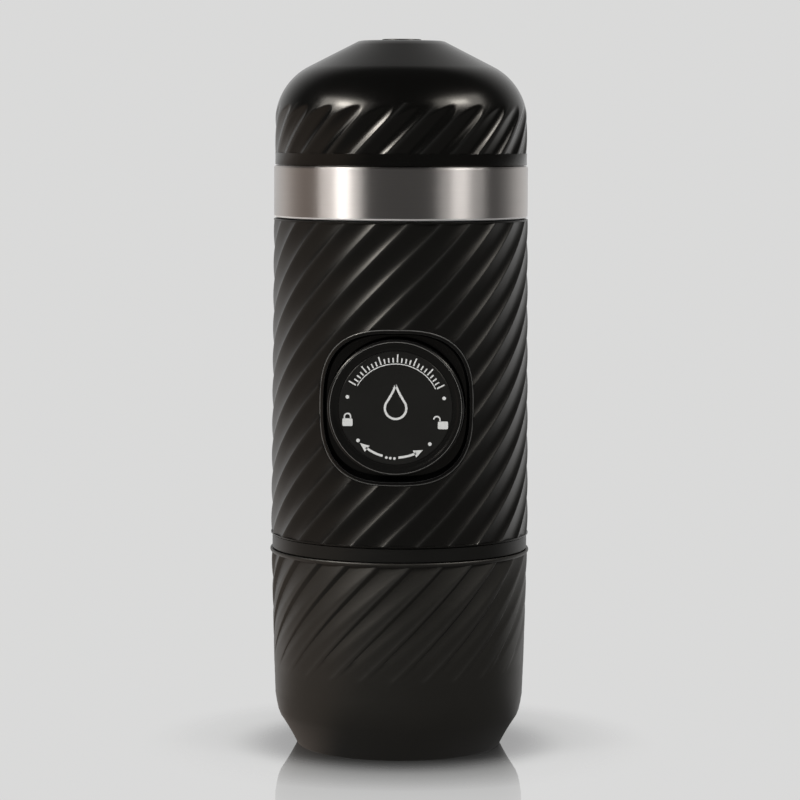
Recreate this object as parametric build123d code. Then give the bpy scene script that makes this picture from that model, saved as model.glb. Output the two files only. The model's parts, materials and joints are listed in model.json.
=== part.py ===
from build123d import *
import math
import os

# A hand-pumped portable espresso maker, in millimetres. It stands on the foot of its cup at z = 0, its
# axis is Z, and the round pump knob faces the front, which is -Y. The pump axis runs along Y.

# Gaps shared by many pieces
PART_GAP = 0.3          # between pieces that come apart
SEAM = 0.2              # dark seam line between two shells
FIT = 0.05              # radial running fit of shafts, seals and plugs
LOOSE = 0.5             # free space round a piece that only has to miss its neighbour
CUT_PAST = 1.0          # how far a cut runs on past the piece that it cuts

# Heights of the outer shells, from the foot up
CUP_HEIGHT = 50.3
RING_HEIGHT = 3.2
BODY_HEIGHT = 79.8
BAND_HEIGHT = 13.0
DOME_HEIGHT = 31.1
TIP_PROUD = 0.4

# Outer radii: the body's, and how far the other shells stand in or out from it
BODY_RADIUS = 32.35
RING_INSET = 0.05
BAND_INSET = 0.35
DOME_INSET = 0.3        # dome inside the band
CUP_RIM_FLARE = 0.5
CUP_LIP_FLARE = 0.05
CUP_TAPER = 0.85        # from the cup's lip down to its narrow end
FOOT_INSET = 5.85       # foot inside the cup's narrow end

# Twisted ridges
RIDGE_COUNT = 25
RIDGE_LEAD = 203.0      # height of one whole turn
RIDGE_DEPTH = 0.55
RIDGE_FLANK = 0.22      # steep share of each ridge
BODY_RIDGE_AT = 10.2    # turn of the ridges of each shell, in degrees
DOME_RIDGE_AT = 13.8
CUP_RIDGE_AT = 0.3

# Drinking cup
CUP_WALL = 2.4
CUP_FLOOR = 3.2
CUP_LIP_HEIGHT = 1.6
CUP_LIP_NECK = 1.0      # height over which the wall flares into the lip
CUP_LIP_ROUND = 0.3
CUP_MOUTH_WALL = 1.8
CUP_LEDGE_DROP = 4.3    # rim down to the ledge that the tank's flange sits on
CUP_LAND = 8.0          # straight land under the ledge, gripped by the ring
CHAMFER_HEIGHT = 8.4
CHAMFER_BLEND = 4.8
CHAMFER_TOP_IN = 1.15
FOOT_RECESS = 0.8
FOOT_WIDTH = 3.5
CUP_RIDGE_LOW = 22.5
CUP_RIDGE_TOP_DROP = 2.2

# Water tank
TANK_WALL = 1.8
TANK_GAP = 0.6          # beside the cup's narrowest wall
TANK_FLOOR = 2.0
TANK_LIFT = 6.3         # cup floor to the tank's underside
TANK_CHAMFER = 3.0
FLANGE_THICK = 2.7
GRIP_DROP = 4.1         # ledge down to the grip ring
GRIP_SECTION = 2.0

# Collar that closes the body below
NECK_WALL = 2.0
NECK_LENGTH = 9.1
COLLAR_BOSS = 3.2
TANK_SEAL_THICK = 1.3
THREAD_HEIGHT = 0.35
THREAD_WIDTH = 1.6
THREAD_PITCH = 4.0
THREAD_TURNS = 1.25

# Body shell and chassis
SHELL_WALL = 2.75
CHASSIS_DISC = 2.5
COLUMN_X = 18.5
COLUMN_WIDTH = 7.0
COLUMN_GAP = 2.0        # behind the well's tube, and short of the barrel's end
CRADLE_GAP = 8.0        # cradle to the back end of the barrel, for the screw heads
CRADLE_HEIGHT = 30.0
TUBE_CLEAR = 5.0

# Pump: bore, stroke and the pieces along Y
PUMP_RISE = 34.5        # body's lower edge up to the pump's axis
BORE = 9.5
CYLINDER_WALL = 1.9
STROKE = 14.0
PISTON_THICK = 4.0
PISTON_END_GAP = 1.0
PISTON_SIDE_GAP = 0.3
LIP_SEAL_WIDTH = 1.8
LIP_SEAL_DEPTH = 1.6
ROD_RADIUS = 3.0
ROD_SOCKET_FLOOR = 1.2
GUIDE_PLUG = 2.0
GUIDE_HEAD = 3.5
PUMP_FLANGE = 26.0
PUMP_FLANGE_THICK = 2.5
RING_SEAL_SECTION = 1.6
RING_SEAL_WALL = 1.1    # left between the bore and the seal's groove

# Return spring
SPRING_RADIUS = 8.2
SPRING_WIRE = 1.1
SPRING_TURNS = 6

# Knob
KNOB_RADIUS = 16.7
KNOB_INSET = 0.05       # knob's front inside the body's crests
KNOB_WALL = 2.1
KNOB_DISC = 4.0
KNOB_RIM = 1.6
KNOB_BEAD = 0.4         # width of the bead's inner slope
KNOB_EDGE = 0.5         # chamfer round the knob's front edge
KNOB_DISH = 0.55
FACE_RADIUS = 13.9
FACE_THICK = 1.0
FACE_DROP = 0.2         # marked disc behind the bead
BOSS_RADIUS = 5.5
BOSS_LENGTH = 8.3
LOCK_TURN = 45.0
LUG_HEIGHT = 1.3
LUG_LENGTH = 2.5
LUG_ANGLE = 16.0
LUG_END_PLAY = 1.5      # degrees left at each end of the turn

# Well round the knob
WELL_WIDTH = 38.0
WELL_HEIGHT = 38.4
WELL_POWER = 2.8        # how square the outline is: 2 is an ellipse
WELL_LIP = 0.9
WELL_DEPTH = 8.05       # body's crests in to the well's floor
WELL_FLOOR = 2.0
WELL_INSET = 0.25       # well's front inside the body's crests
WELL_TUBE_WALL = 1.7
CHANNEL_WALL = 1.0      # left between the well's floor and the lugs' channels

# Valve block behind the barrel
BLOCK_INSET = 6.85      # body's crests in to the block's back
BLOCK_WIDTH = 25.0
BLOCK_DEPTH = 11.5
BLOCK_HEIGHT = 34.0
VALVE_BACK = 5.5        # barrel's end to the valves' axis
VALVE_BORE = 3.2
PASSAGE = 1.6
BALL_RADIUS = 2.4
BALL_REST_GAP = 0.1
BALL_LIFT = 1.2
SPRING_ROOM = 1.5       # left for the spring over the lifted ball
INLET_PLUG = 5.0
UPPER_CHAMBER = 12.0
FITTING_FLANGE = 2.0
FITTING_FLANGE_RADIUS = 4.6
BARB_RADIUS = 2.0
BARB_BORE = 1.1
BARB_LENGTH = 5.5
HOSE_WALL = 1.2
VALVE_SPRING_RADIUS = 1.7
VALVE_SPRING_WIRE = 0.4
VALVE_SPRING_TURNS = 3

# Strainer and vent in the collar
STRAINER_RADIUS = 2.9
STRAINER_THICK = 1.6
STRAINER_MESH = 0.6
STRAINER_HOLE = 0.3
STRAINER_PITCH = 1.2
VENT_Y = -14.0
VENT_RADIUS = 3.0
VENT_BORE = 0.9
VENT_FLANGE = 1.0
VENT_SINK = 0.5
VENT_BILL = 5.0
VENT_BILL_EDGE = 1.0

# Brew collar on top of the body
DECK_THICK = 4.7
DECK_DROP = 0.2
NECK_CLEARANCE = 1.3    # neck's side to the head's skirt, for the screw ridge
BREW_NECK_WALL = 3.5
BREW_NECK_HEIGHT = 9.4
SHOWER_CHAMBER = 2.0
SHOWER_PLATE = 1.0
SHOWER_LIP = 1.8
SHOWER_HOLE = 0.5
SHOWER_PITCH = 5.0
SHOWER_RINGS = 3
PIN_COUNT = 3
PIN_RADIUS = 0.9
PIN_POINT = 0.1
PIN_LENGTH = 5.0
PIN_CIRCLE = 7.5
BREW_SEAL_THICK = 1.6
BREW_SEAL_WIDTH = 2.7

# Coffee basket
BASKET_CLEARANCE = 0.6  # flange's edge to the neck's bore
BASKET_FLANGE_WIDTH = 2.9
BASKET_FLANGE_THICK = 1.2
BASKET_WALL = 0.8
BASKET_HEIGHT = 23.8
SCREEN_THICK = 0.8
SCREEN_LIP = 1.4
SCREEN_HOLE = 0.55
SCREEN_PITCH = 4.0
SCREEN_RINGS = 4
BASKET_SEAL_THICK = 1.0

# Outlet head
SKIRT_WALL = 2.6
DOME_WALL = 2.6
SHOULDER_RADIUS = 15.5
CONE_SLOPE = 27.0       # degrees below level
FLAT_RADIUS = 10.5
LEDGE_HEIGHT = 3.0      # smooth rim under the dome's ridges
BAND_WALL = 1.05
BAND_BEVEL = 0.45
CONE_WALL = 2.0
CONE_FLANGE = 2.0
CONE_FLOOR = 2.0
SPOUT_RADIUS = 3.1
SPOUT_BORE = 1.5
TIP_RADIUS = 5.0
TIP_DEPTH = 6.0
TIP_SOCKET = 4.0
TIP_BORE = 1.0
HEAD_SEAL_THICK = 2.1

# Screws
SCREW_HEAD = 2.2
SCREW_HEAD_THICK = 1.8
SCREW_SHANK = 1.25
PUMP_SCREW_AT = 9.8
PUMP_SCREW_LENGTH = 9.0
DECK_SCREW_EDGE = 3.1   # from the chassis disc's edge
DECK_SCREW_REACH = 4.0
CHASSIS_SCREW_EDGE = 4.0
CHASSIS_SCREW_REACH = 9.0
KNOB_SCREW_HEAD = 1.2
KNOB_SCREW_SEAT = 1.0
KNOB_SCREW_REACH = 7.5

# Levels and radii that follow from the sizes above
RING_Z = CUP_HEIGHT + PART_GAP
BODY_Z = RING_Z + RING_HEIGHT + SEAM
BODY_TOP = BODY_Z + BODY_HEIGHT
BAND_Z = BODY_TOP + PART_GAP
BAND_TOP = BAND_Z + BAND_HEIGHT
DOME_Z = BAND_TOP + SEAM
DOME_TOP = DOME_Z + DOME_HEIGHT

RING_RADIUS = BODY_RADIUS - RING_INSET
BAND_RADIUS = BODY_RADIUS - BAND_INSET
DOME_RADIUS = BAND_RADIUS - DOME_INSET
CUP_RIM_RADIUS = BODY_RADIUS + CUP_RIM_FLARE
CUP_LIP_RADIUS = BODY_RADIUS + CUP_LIP_FLARE
CUP_LOW_RADIUS = CUP_LIP_RADIUS - CUP_TAPER
FOOT_RADIUS = CUP_LOW_RADIUS - FOOT_INSET
WELL_RADIUS = BODY_RADIUS - WELL_INSET
SHELL_BORE = BODY_RADIUS - SHELL_WALL
INNER_RADIUS = SHELL_BORE - PART_GAP

LEDGE_Z = CUP_HEIGHT - CUP_LEDGE_DROP
MOUTH_RADIUS = CUP_RIM_RADIUS - CUP_MOUTH_WALL
LAND_RADIUS = CUP_LIP_RADIUS - CUP_WALL
LAND_Z = LEDGE_Z - CUP_LAND
CUP_LOW_Z = CHAMFER_HEIGHT + CHAMFER_BLEND
CUP_LOW_BORE = CUP_LOW_RADIUS - CUP_WALL

TANK_Z = CUP_FLOOR + TANK_LIFT
TANK_RADIUS = CUP_LOW_BORE - TANK_GAP
TANK_BORE = TANK_RADIUS - TANK_WALL
FLANGE_Z = LEDGE_Z + PART_GAP
TANK_TOP = FLANGE_Z + FLANGE_THICK
FLANGE_RADIUS = MOUTH_RADIUS - PART_GAP
GRIP_Z = LEDGE_Z - GRIP_DROP
GRIP_CENTRE = LAND_RADIUS - FIT - GRIP_SECTION / 2
GRIP_GROOVE = GRIP_CENTRE - GRIP_SECTION / 2 - FIT

NECK_RADIUS = TANK_BORE - 2 * PART_GAP - THREAD_HEIGHT
NECK_BORE = NECK_RADIUS - NECK_WALL
NECK_Z = RING_Z - NECK_LENGTH
COLLAR_TOP = RING_Z + RING_HEIGHT + COLLAR_BOSS
VENT_LOW = RING_Z - VENT_SINK - VENT_FLANGE

# The barrel's length follows from its stroke, and it ends at the valve block
PUMP_Z = BODY_Z + PUMP_RISE
CYLINDER_BACK = BODY_RADIUS - BLOCK_INSET - BLOCK_DEPTH
CYLINDER_FRONT = CYLINDER_BACK - STROKE - PISTON_THICK - 2 * PISTON_END_GAP - GUIDE_PLUG
CYLINDER_RADIUS = BORE + CYLINDER_WALL
RING_SEAL_RADIUS = BORE + RING_SEAL_WALL + RING_SEAL_SECTION / 2
PISTON_BACK = CYLINDER_BACK - PISTON_END_GAP
PISTON_FRONT = PISTON_BACK - PISTON_THICK
ROD_BACK = PISTON_BACK - ROD_SOCKET_FLOOR
GUIDE_FRONT = CYLINDER_FRONT - GUIDE_HEAD

# The knob's front is flush with the body, and its skirt is as long as the lugs' channels need
KNOB_FACE_Y = KNOB_INSET - BODY_RADIUS
KNOB_DISC_BACK = KNOB_FACE_Y + KNOB_DISC
KNOB_BORE = KNOB_RADIUS - KNOB_WALL
KNOB_SCREW_Y = KNOB_DISC_BACK - KNOB_SCREW_SEAT
FACE_Y = KNOB_FACE_Y + FACE_DROP
ROD_FRONT = KNOB_DISC_BACK + PART_GAP
WELL_FLOOR_Y = WELL_DEPTH - BODY_RADIUS
CHANNEL_Y = WELL_FLOOR_Y + CHANNEL_WALL
KNOB_SKIRT_END = CHANNEL_Y + PART_GAP + STROKE + LUG_LENGTH
WELL_TUBE_END = KNOB_SKIRT_END + LOOSE
WELL_BORE = KNOB_RADIUS + PART_GAP
WELL_TUBE = WELL_BORE + WELL_TUBE_WALL
COLUMN_FRONT = WELL_TUBE_END + COLUMN_GAP
COLUMN_BACK = CYLINDER_BACK - COLUMN_GAP
CRADLE_BACK = CYLINDER_BACK - CRADLE_GAP

VALVE_Y = CYLINDER_BACK + VALVE_BACK
BLOCK_Z = PUMP_Z - BLOCK_HEIGHT / 2
BLOCK_TOP = PUMP_Z + BLOCK_HEIGHT / 2
SEAT_RISE = math.sqrt(BALL_RADIUS**2 - PASSAGE**2) + BALL_REST_GAP
BALL_TRAVEL_ROOM = BALL_RADIUS + BALL_LIFT + SPRING_ROOM
INLET_SEAT_Z = BLOCK_Z + INLET_PLUG
INLET_BALL_Z = INLET_SEAT_Z + SEAT_RISE
INLET_STEP_Z = INLET_BALL_Z + BALL_TRAVEL_ROOM
OUTLET_SEAT_Z = BLOCK_TOP - UPPER_CHAMBER
OUTLET_BALL_Z = OUTLET_SEAT_Z + SEAT_RISE
OUTLET_PLUG_Z = OUTLET_BALL_Z + BALL_TRAVEL_ROOM
HOSE_BORE = BARB_RADIUS + FIT

BAND_BORE = BAND_RADIUS - BAND_WALL
SKIRT_Z = BAND_Z + PART_GAP
SKIRT_RADIUS = BAND_BORE - FIT
SKIRT_BORE = SKIRT_RADIUS - SKIRT_WALL

DECK_TOP = BODY_TOP - DECK_DROP
DECK_Z = DECK_TOP - DECK_THICK
CHASSIS_TOP = DECK_Z
CHASSIS_DECK_Z = CHASSIS_TOP - CHASSIS_DISC
CHAMBER_Z = DECK_TOP - SHOWER_CHAMBER
BREW_NECK_RADIUS = SKIRT_BORE - NECK_CLEARANCE
BREW_BORE = BREW_NECK_RADIUS - BREW_NECK_WALL
BREW_NECK_TOP = DECK_TOP + BREW_NECK_HEIGHT
PLATE_Z = CHAMBER_Z + SHOWER_CHAMBER
PLATE_TOP = PLATE_Z + SHOWER_PLATE
BREW_SEAL_TOP = PLATE_TOP + BREW_SEAL_THICK

BASKET_FLANGE = BREW_BORE - BASKET_CLEARANCE
BASKET_RADIUS = BASKET_FLANGE - BASKET_FLANGE_WIDTH
BASKET_BORE = BASKET_RADIUS - BASKET_WALL
BASKET_Z = BREW_SEAL_TOP + PART_GAP
BASKET_SEAL_Z = BASKET_Z + BASKET_FLANGE_THICK
BASKET_TOP = BASKET_Z + BASKET_HEIGHT
CONE_Z = BASKET_SEAL_Z + BASKET_SEAL_THICK + PART_GAP
CONE_BORE = BASKET_RADIUS + LOOSE
CONE_RADIUS = CONE_BORE + CONE_WALL
CONE_CEILING = BASKET_TOP + LOOSE

HEAD_SEAL_Z = BREW_NECK_TOP + PART_GAP
CONE_FLANGE_Z = HEAD_SEAL_Z + HEAD_SEAL_THICK
STEP_Z = CONE_FLANGE_Z + CONE_FLANGE
TIP_Z = DOME_TOP - TIP_DEPTH
TIP_TOP = DOME_TOP + TIP_PROUD
SPOUT_TOP = TIP_Z + TIP_SOCKET - PART_GAP


def turned(points):
    """A solid of revolution about Z from a closed outline of (radius, height) points."""
    return revolve(Plane.XZ * make_face(Polyline(*points, close=True)), axis=Axis.Z)


def tube(outer, inner, low, high):
    """A plain ring or bush about Z."""
    return turned([(inner, low), (outer, low), (outer, high), (inner, high)])


def rod(radius, low, high, x=0.0, y=0.0):
    """A round bar parallel to Z."""
    bar = Cylinder(radius, high - low, align=(Align.CENTER, Align.CENTER, Align.MIN))
    return Pos(x, y, low) * bar


def box(x0, x1, y0, y1, z0, z1):
    """A square block between two corners."""
    block = Box(x1 - x0, y1 - y0, z1 - z0, align=(Align.MIN, Align.MIN, Align.MIN))
    return Pos(x0, y0, z0) * block


def on_pump_axis(solid):
    """Lays a solid made about Z along the pump axis, so that its height becomes Y."""
    return Pos(0, 0, PUMP_Z) * Rot(-90, 0, 0) * solid


def coil(radius, wire, turns, low, high):
    """An open round-wire spring about Z whose wire stays between two levels."""
    rise = high - low - wire
    path = Helix(pitch=rise / turns, height=rise, radius=radius)
    start = Plane(origin=path @ 0, z_dir=path % 0)
    spring = sweep(start * Circle(wire / 2), path=path, is_frenet=True)
    print("least gap in a spring", round(rise / turns - wire, 2))
    return Pos(0, 0, low + wire / 2) * spring


def ridge_outline(crest, root):
    """One cross section of the ridges: a slow fall from each crest, then a steep rise to the next."""
    step = 2 * math.pi / RIDGE_COUNT
    points = []
    for k in range(RIDGE_COUNT):
        for share, radius in ((0.0, crest), (1.0 - RIDGE_FLANK, root)):
            angle = (k + share) * step
            points.append((radius * math.cos(angle), radius * math.sin(angle)))
    return make_face(Polyline(*points, close=True))


def ridged_column(crest, root, low, high, start):
    """A column whose ridges climb to the right, as seen from the front."""
    turn = 360.0 / RIDGE_LEAD
    outline = Rot(0, 0, start - 90.0 + turn * low) * ridge_outline(crest, root)
    rise = high - low
    column = Solid.extrude_linear_with_rotation(outline.faces()[0], (0, 0, 0), (0, 0, rise), turn * rise)
    return Pos(0, 0, low) * column


def thread(radius, low):
    """A raised screw ridge, sunk a little into the wall that it stands on."""
    path = Helix(pitch=THREAD_PITCH, height=THREAD_PITCH * THREAD_TURNS, radius=radius)
    start = Plane(origin=path @ 0, z_dir=path % 0, x_dir=(1, 0, 0))
    half = THREAD_WIDTH / 2
    crest = half / 2
    foot = -THREAD_HEIGHT
    shape = Polyline((foot, -half), (THREAD_HEIGHT, -crest), (THREAD_HEIGHT, crest), (foot, half), close=True)
    ridge = sweep(start * make_face(shape), path=path, is_frenet=True)
    return Pos(0, 0, low + half) * ridge


def screw(length):
    """A pan-head screw about Z: its head sits on z = 0 and its shank points up."""
    return rod(SCREW_HEAD, -SCREW_HEAD_THICK, 0) + rod(SCREW_SHANK, 0, length)


def ring_of_holes(rings, pitch, hole, low, high):
    """Small round cutters in rings about a centre one, with even spacing along each ring."""
    cutters = [rod(hole, low, high)]
    for ring in range(1, rings + 1):
        count = int(2 * math.pi * ring)
        for k in range(count):
            angle = 2 * math.pi * k / count
            x = ring * pitch * math.cos(angle)
            y = ring * pitch * math.sin(angle)
            cutters.append(rod(hole, low, high, x, y))
    return cutters


def squircle(width, height):
    """A rounded square outline, between an ellipse and a rectangle."""
    points = []
    steps = 32
    for k in range(steps):
        angle = 2 * math.pi * k / steps
        cosine = math.cos(angle)
        sine = math.sin(angle)
        x = math.copysign(abs(cosine) ** (2 / WELL_POWER), cosine) * width / 2
        y = math.copysign(abs(sine) ** (2 / WELL_POWER), sine) * height / 2
        points.append((x, y))
    return make_face(Spline(*points, periodic=True))


def squircle_bar(width, height, front, back):
    """A rounded square bar on the pump axis, between two places along Y."""
    bar = extrude(squircle(width, height), amount=back - front)
    return on_pump_axis(Pos(0, 0, front) * bar)


def wedge(start, end, low, high):
    """A sector block about Z, wider than the well, that cuts a ring to an angle."""
    reach = 2 * WELL_TUBE
    points = [(0, 0)]
    steps = 4
    for k in range(steps + 1):
        angle = math.radians(start + (end - start) * k / steps)
        points.append((reach * math.cos(angle), reach * math.sin(angle)))
    return Pos(0, 0, low) * extrude(make_face(Polyline(*points, close=True)), amount=high - low)


def drinking_cup():
    """The ridged cup that the maker stands on: flared lip, ledge for the tank, chamfered foot."""
    lip_low = CUP_HEIGHT - CUP_LIP_HEIGHT
    outside = [
        (FOOT_RADIUS, 0),
        (CUP_LOW_RADIUS - CHAMFER_TOP_IN, CHAMFER_HEIGHT),
        (CUP_LOW_RADIUS, CUP_LOW_Z),
        (CUP_LIP_RADIUS, lip_low - CUP_LIP_NECK),
        (CUP_RIM_RADIUS, lip_low + CUP_LIP_HEIGHT / 2),
        (CUP_RIM_RADIUS - CUP_LIP_ROUND, CUP_HEIGHT),
    ]
    inside = [
        (MOUTH_RADIUS, CUP_HEIGHT),
        (MOUTH_RADIUS, LEDGE_Z),
        (LAND_RADIUS, LEDGE_Z),
        (LAND_RADIUS, LAND_Z),
        (CUP_LOW_BORE, CUP_LOW_Z),
        (FOOT_RADIUS - CUP_WALL / 2, CUP_FLOOR),
        (0, CUP_FLOOR),
        (0, FOOT_RECESS),
        (FOOT_RADIUS - FOOT_WIDTH - FOOT_RECESS, FOOT_RECESS),
        (FOOT_RADIUS - FOOT_WIDTH, 0),
    ]
    cup = turned(outside + inside)
    high = CUP_HEIGHT - CUP_RIDGE_TOP_DROP
    root = CUP_LIP_RADIUS - RIDGE_DEPTH
    ring = tube(CUP_RIM_RADIUS + CUT_PAST, root - CUT_PAST, CUP_RIDGE_LOW, high)
    grooves = ring - ridged_column(root + 2 * RIDGE_DEPTH, root, CUP_RIDGE_LOW, high, CUP_RIDGE_AT)
    return cup - grooves


def water_tank():
    """The inner tank: it hangs by its flange on the cup's ledge."""
    groove = GRIP_SECTION / 2 + FIT
    outline = [
        (0, TANK_Z),
        (TANK_RADIUS - TANK_CHAMFER, TANK_Z),
        (TANK_RADIUS, TANK_Z + TANK_CHAMFER),
        (TANK_RADIUS, GRIP_Z - 2 * GRIP_SECTION),
        (GRIP_CENTRE, GRIP_Z - 1.5 * GRIP_SECTION),
        (GRIP_CENTRE, GRIP_Z - groove),
        (GRIP_GROOVE, GRIP_Z - groove),
        (GRIP_GROOVE, GRIP_Z + groove),
        (GRIP_CENTRE, GRIP_Z + groove),
        (GRIP_CENTRE, FLANGE_Z),
        (FLANGE_RADIUS, FLANGE_Z),
        (FLANGE_RADIUS, TANK_TOP),
        (TANK_BORE, TANK_TOP),
        (TANK_BORE, TANK_Z + TANK_FLOOR + TANK_CHAMFER),
        (TANK_BORE - TANK_CHAMFER, TANK_Z + TANK_FLOOR),
        (0, TANK_Z + TANK_FLOOR),
    ]
    return turned(outline)


def cup_grip_ring():
    """The soft ring in the tank's groove that the cup grips."""
    return Pos(0, 0, GRIP_Z) * Torus(GRIP_CENTRE, GRIP_SECTION / 2)


def chassis_screw_places():
    """Where the four screws pass up through the collar into the chassis columns."""
    rows = (COLUMN_FRONT + CHASSIS_SCREW_EDGE, COLUMN_BACK - CHASSIS_SCREW_EDGE)
    return [(side * COLUMN_X, y) for side in (-1, 1) for y in rows]


def deck_screw_places():
    """Where the four screws pass up through the chassis into the deck."""
    at = (INNER_RADIUS - DECK_SCREW_EDGE) / math.sqrt(2)
    return [(sx * at, sy * at) for sx in (-1, 1) for sy in (-1, 1)]


def pump_screw_places():
    """The corners of the pump flange that its screws pass through, about the pump axis."""
    return [(sx * PUMP_SCREW_AT, sy * PUMP_SCREW_AT) for sx in (-1, 1) for sy in (-1, 1)]


def tank_collar():
    """The smooth ring under the body, with the neck that the tank screws onto."""
    outline = [
        (0, RING_Z),
        (NECK_BORE, RING_Z),
        (NECK_BORE, NECK_Z),
        (NECK_RADIUS, NECK_Z),
        (NECK_RADIUS, RING_Z),
        (RING_RADIUS, RING_Z),
        (RING_RADIUS, RING_Z + RING_HEIGHT),
        (INNER_RADIUS, RING_Z + RING_HEIGHT),
        (INNER_RADIUS, COLLAR_TOP),
        (0, COLLAR_TOP),
    ]
    collar = turned(outline) + thread(NECK_RADIUS, NECK_Z + THREAD_WIDTH)
    collar = collar + rod(BARB_RADIUS, COLLAR_TOP, COLLAR_TOP + BARB_LENGTH, 0, VALVE_Y)
    cuts = [
        rod(BARB_BORE, RING_Z, COLLAR_TOP + BARB_LENGTH, 0, VALVE_Y),
        rod(VENT_RADIUS + FIT, RING_Z, COLLAR_TOP, 0, VENT_Y),
    ]
    for x, y in chassis_screw_places():
        cuts.append(rod(SCREW_HEAD + FIT, RING_Z, RING_Z + SCREW_HEAD_THICK, x, y))
        cuts.append(rod(SCREW_SHANK + FIT, RING_Z, COLLAR_TOP, x, y))
    return collar - cuts


def tank_seal():
    """The flat gasket under the collar that the tank's rim closes on."""
    return tube(FLANGE_RADIUS, NECK_RADIUS + PART_GAP, RING_Z - TANK_SEAL_THICK, RING_Z)


def suction_strainer():
    """The small strainer under the water inlet."""
    low = RING_Z - STRAINER_THICK
    cap = rod(STRAINER_RADIUS, low, RING_Z) - rod(STRAINER_RADIUS - CUT_PAST, low + STRAINER_MESH, RING_Z)
    return Pos(0, VALVE_Y, 0) * (cap - ring_of_holes(1, STRAINER_PITCH, STRAINER_HOLE, low, RING_Z))


def vent_valve():
    """The soft duckbill that lets air into the tank."""
    stem = rod(VENT_RADIUS, RING_Z - VENT_SINK, COLLAR_TOP)
    flange = rod(VENT_RADIUS + VENT_FLANGE, VENT_LOW, RING_Z)
    width = 2 * VENT_RADIUS - VENT_FLANGE
    bill = loft([
        Pos(0, 0, VENT_LOW) * Rectangle(width, width),
        Pos(0, 0, VENT_LOW - VENT_BILL) * Rectangle(width, VENT_BILL_EDGE),
    ])
    valve = stem + flange + bill
    return Pos(0, VENT_Y, 0) * (valve - rod(VENT_BORE, VENT_LOW - VENT_SINK, COLLAR_TOP))


def body_shell():
    """The twisted-ridge sleeve of the body, with the rounded square window for the knob's well."""
    root = BODY_RADIUS - RIDGE_DEPTH
    shell = ridged_column(BODY_RADIUS, root, BODY_Z, BODY_TOP, BODY_RIDGE_AT)
    shell = shell - rod(SHELL_BORE, BODY_Z - CUT_PAST, BODY_TOP + CUT_PAST)
    front = -BODY_RADIUS - CUT_PAST
    return shell - squircle_bar(WELL_WIDTH + 2 * FIT, WELL_HEIGHT + 2 * FIT, front, COLUMN_FRONT)


def chassis():
    """The inner frame: two discs, two columns and the cradle that holds the pump cylinder."""
    low = COLLAR_TOP
    frame = rod(INNER_RADIUS, low, low + CHASSIS_DISC) + rod(INNER_RADIUS, CHASSIS_DECK_Z, CHASSIS_TOP)
    half = COLUMN_WIDTH / 2
    for side in (-1, 1):
        x = side * COLUMN_X
        frame = frame + box(x - half, x + half, COLUMN_FRONT, COLUMN_BACK, low, CHASSIS_TOP)
    rise = CRADLE_HEIGHT / 2
    frame = frame + box(-COLUMN_X, COLUMN_X, COLUMN_FRONT, CRADLE_BACK, PUMP_Z - rise, PUMP_Z + rise)
    cuts = [on_pump_axis(rod(CYLINDER_RADIUS + FIT, COLUMN_FRONT - CUT_PAST, CYLINDER_BACK))]
    for z in (low, CHASSIS_DECK_Z):
        cuts.append(rod(TUBE_CLEAR, z, z + CHASSIS_DISC, 0, VALVE_Y))
    for x, y in chassis_screw_places():
        cuts.append(rod(SCREW_SHANK + FIT, low, low + CHASSIS_SCREW_REACH, x, y))
    for x, y in deck_screw_places():
        cuts.append(rod(SCREW_SHANK + FIT, CHASSIS_DECK_Z, CHASSIS_TOP, x, y))
    return frame - cuts


def chassis_screws():
    """The four long screws from the collar up into the columns."""
    seat = RING_Z + SCREW_HEAD_THICK
    length = COLLAR_TOP - seat + CHASSIS_SCREW_REACH - LOOSE
    return Compound([Pos(x, y, seat) * screw(length) for x, y in chassis_screw_places()])


def deck_screws():
    """The four short screws from the chassis up into the deck of the brew collar."""
    length = CHASSIS_DISC + DECK_SCREW_REACH - PART_GAP
    return Compound([Pos(x, y, CHASSIS_DECK_Z) * screw(length) for x, y in deck_screw_places()])


def pump_cylinder():
    """The pump barrel along Y, with the square flange that bolts to the valve block."""
    barrel = rod(CYLINDER_RADIUS, CYLINDER_FRONT, CYLINDER_BACK)
    half = PUMP_FLANGE / 2
    front = CYLINDER_BACK - PUMP_FLANGE_THICK
    barrel = barrel + box(-half, half, -half, half, front, CYLINDER_BACK)
    section = RING_SEAL_SECTION / 2
    groove_front = CYLINDER_BACK - RING_SEAL_SECTION
    groove = tube(RING_SEAL_RADIUS + section, RING_SEAL_RADIUS - section, groove_front, CYLINDER_BACK)
    cuts = [rod(BORE, CYLINDER_FRONT, CYLINDER_BACK), groove]
    for x, y in pump_screw_places():
        cuts.append(rod(SCREW_SHANK + FIT, front, CYLINDER_BACK, x, y))
    return on_pump_axis(barrel - cuts)


def pump_ring_seal():
    """The ring that seals the barrel to the valve block."""
    section = RING_SEAL_SECTION / 2
    ring = Pos(0, 0, CYLINDER_BACK - section) * Torus(RING_SEAL_RADIUS, section - FIT / 2)
    return on_pump_axis(ring)


def pump_screws():
    """The four screws that clamp the barrel's flange to the valve block."""
    front = CYLINDER_BACK - PUMP_FLANGE_THICK
    screws = [Pos(x, y, front) * screw(PUMP_SCREW_LENGTH) for x, y in pump_screw_places()]
    return on_pump_axis(Compound(screws))


def rod_guide():
    """The bush in the front of the barrel that guides the rod and seats the spring."""
    plug = rod(BORE - FIT, CYLINDER_FRONT, CYLINDER_FRONT + GUIDE_PLUG)
    head = rod(CYLINDER_RADIUS, GUIDE_FRONT, CYLINDER_FRONT)
    bush = plug + head - rod(ROD_RADIUS + FIT, GUIDE_FRONT, CYLINDER_FRONT + GUIDE_PLUG)
    return on_pump_axis(bush)


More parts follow.
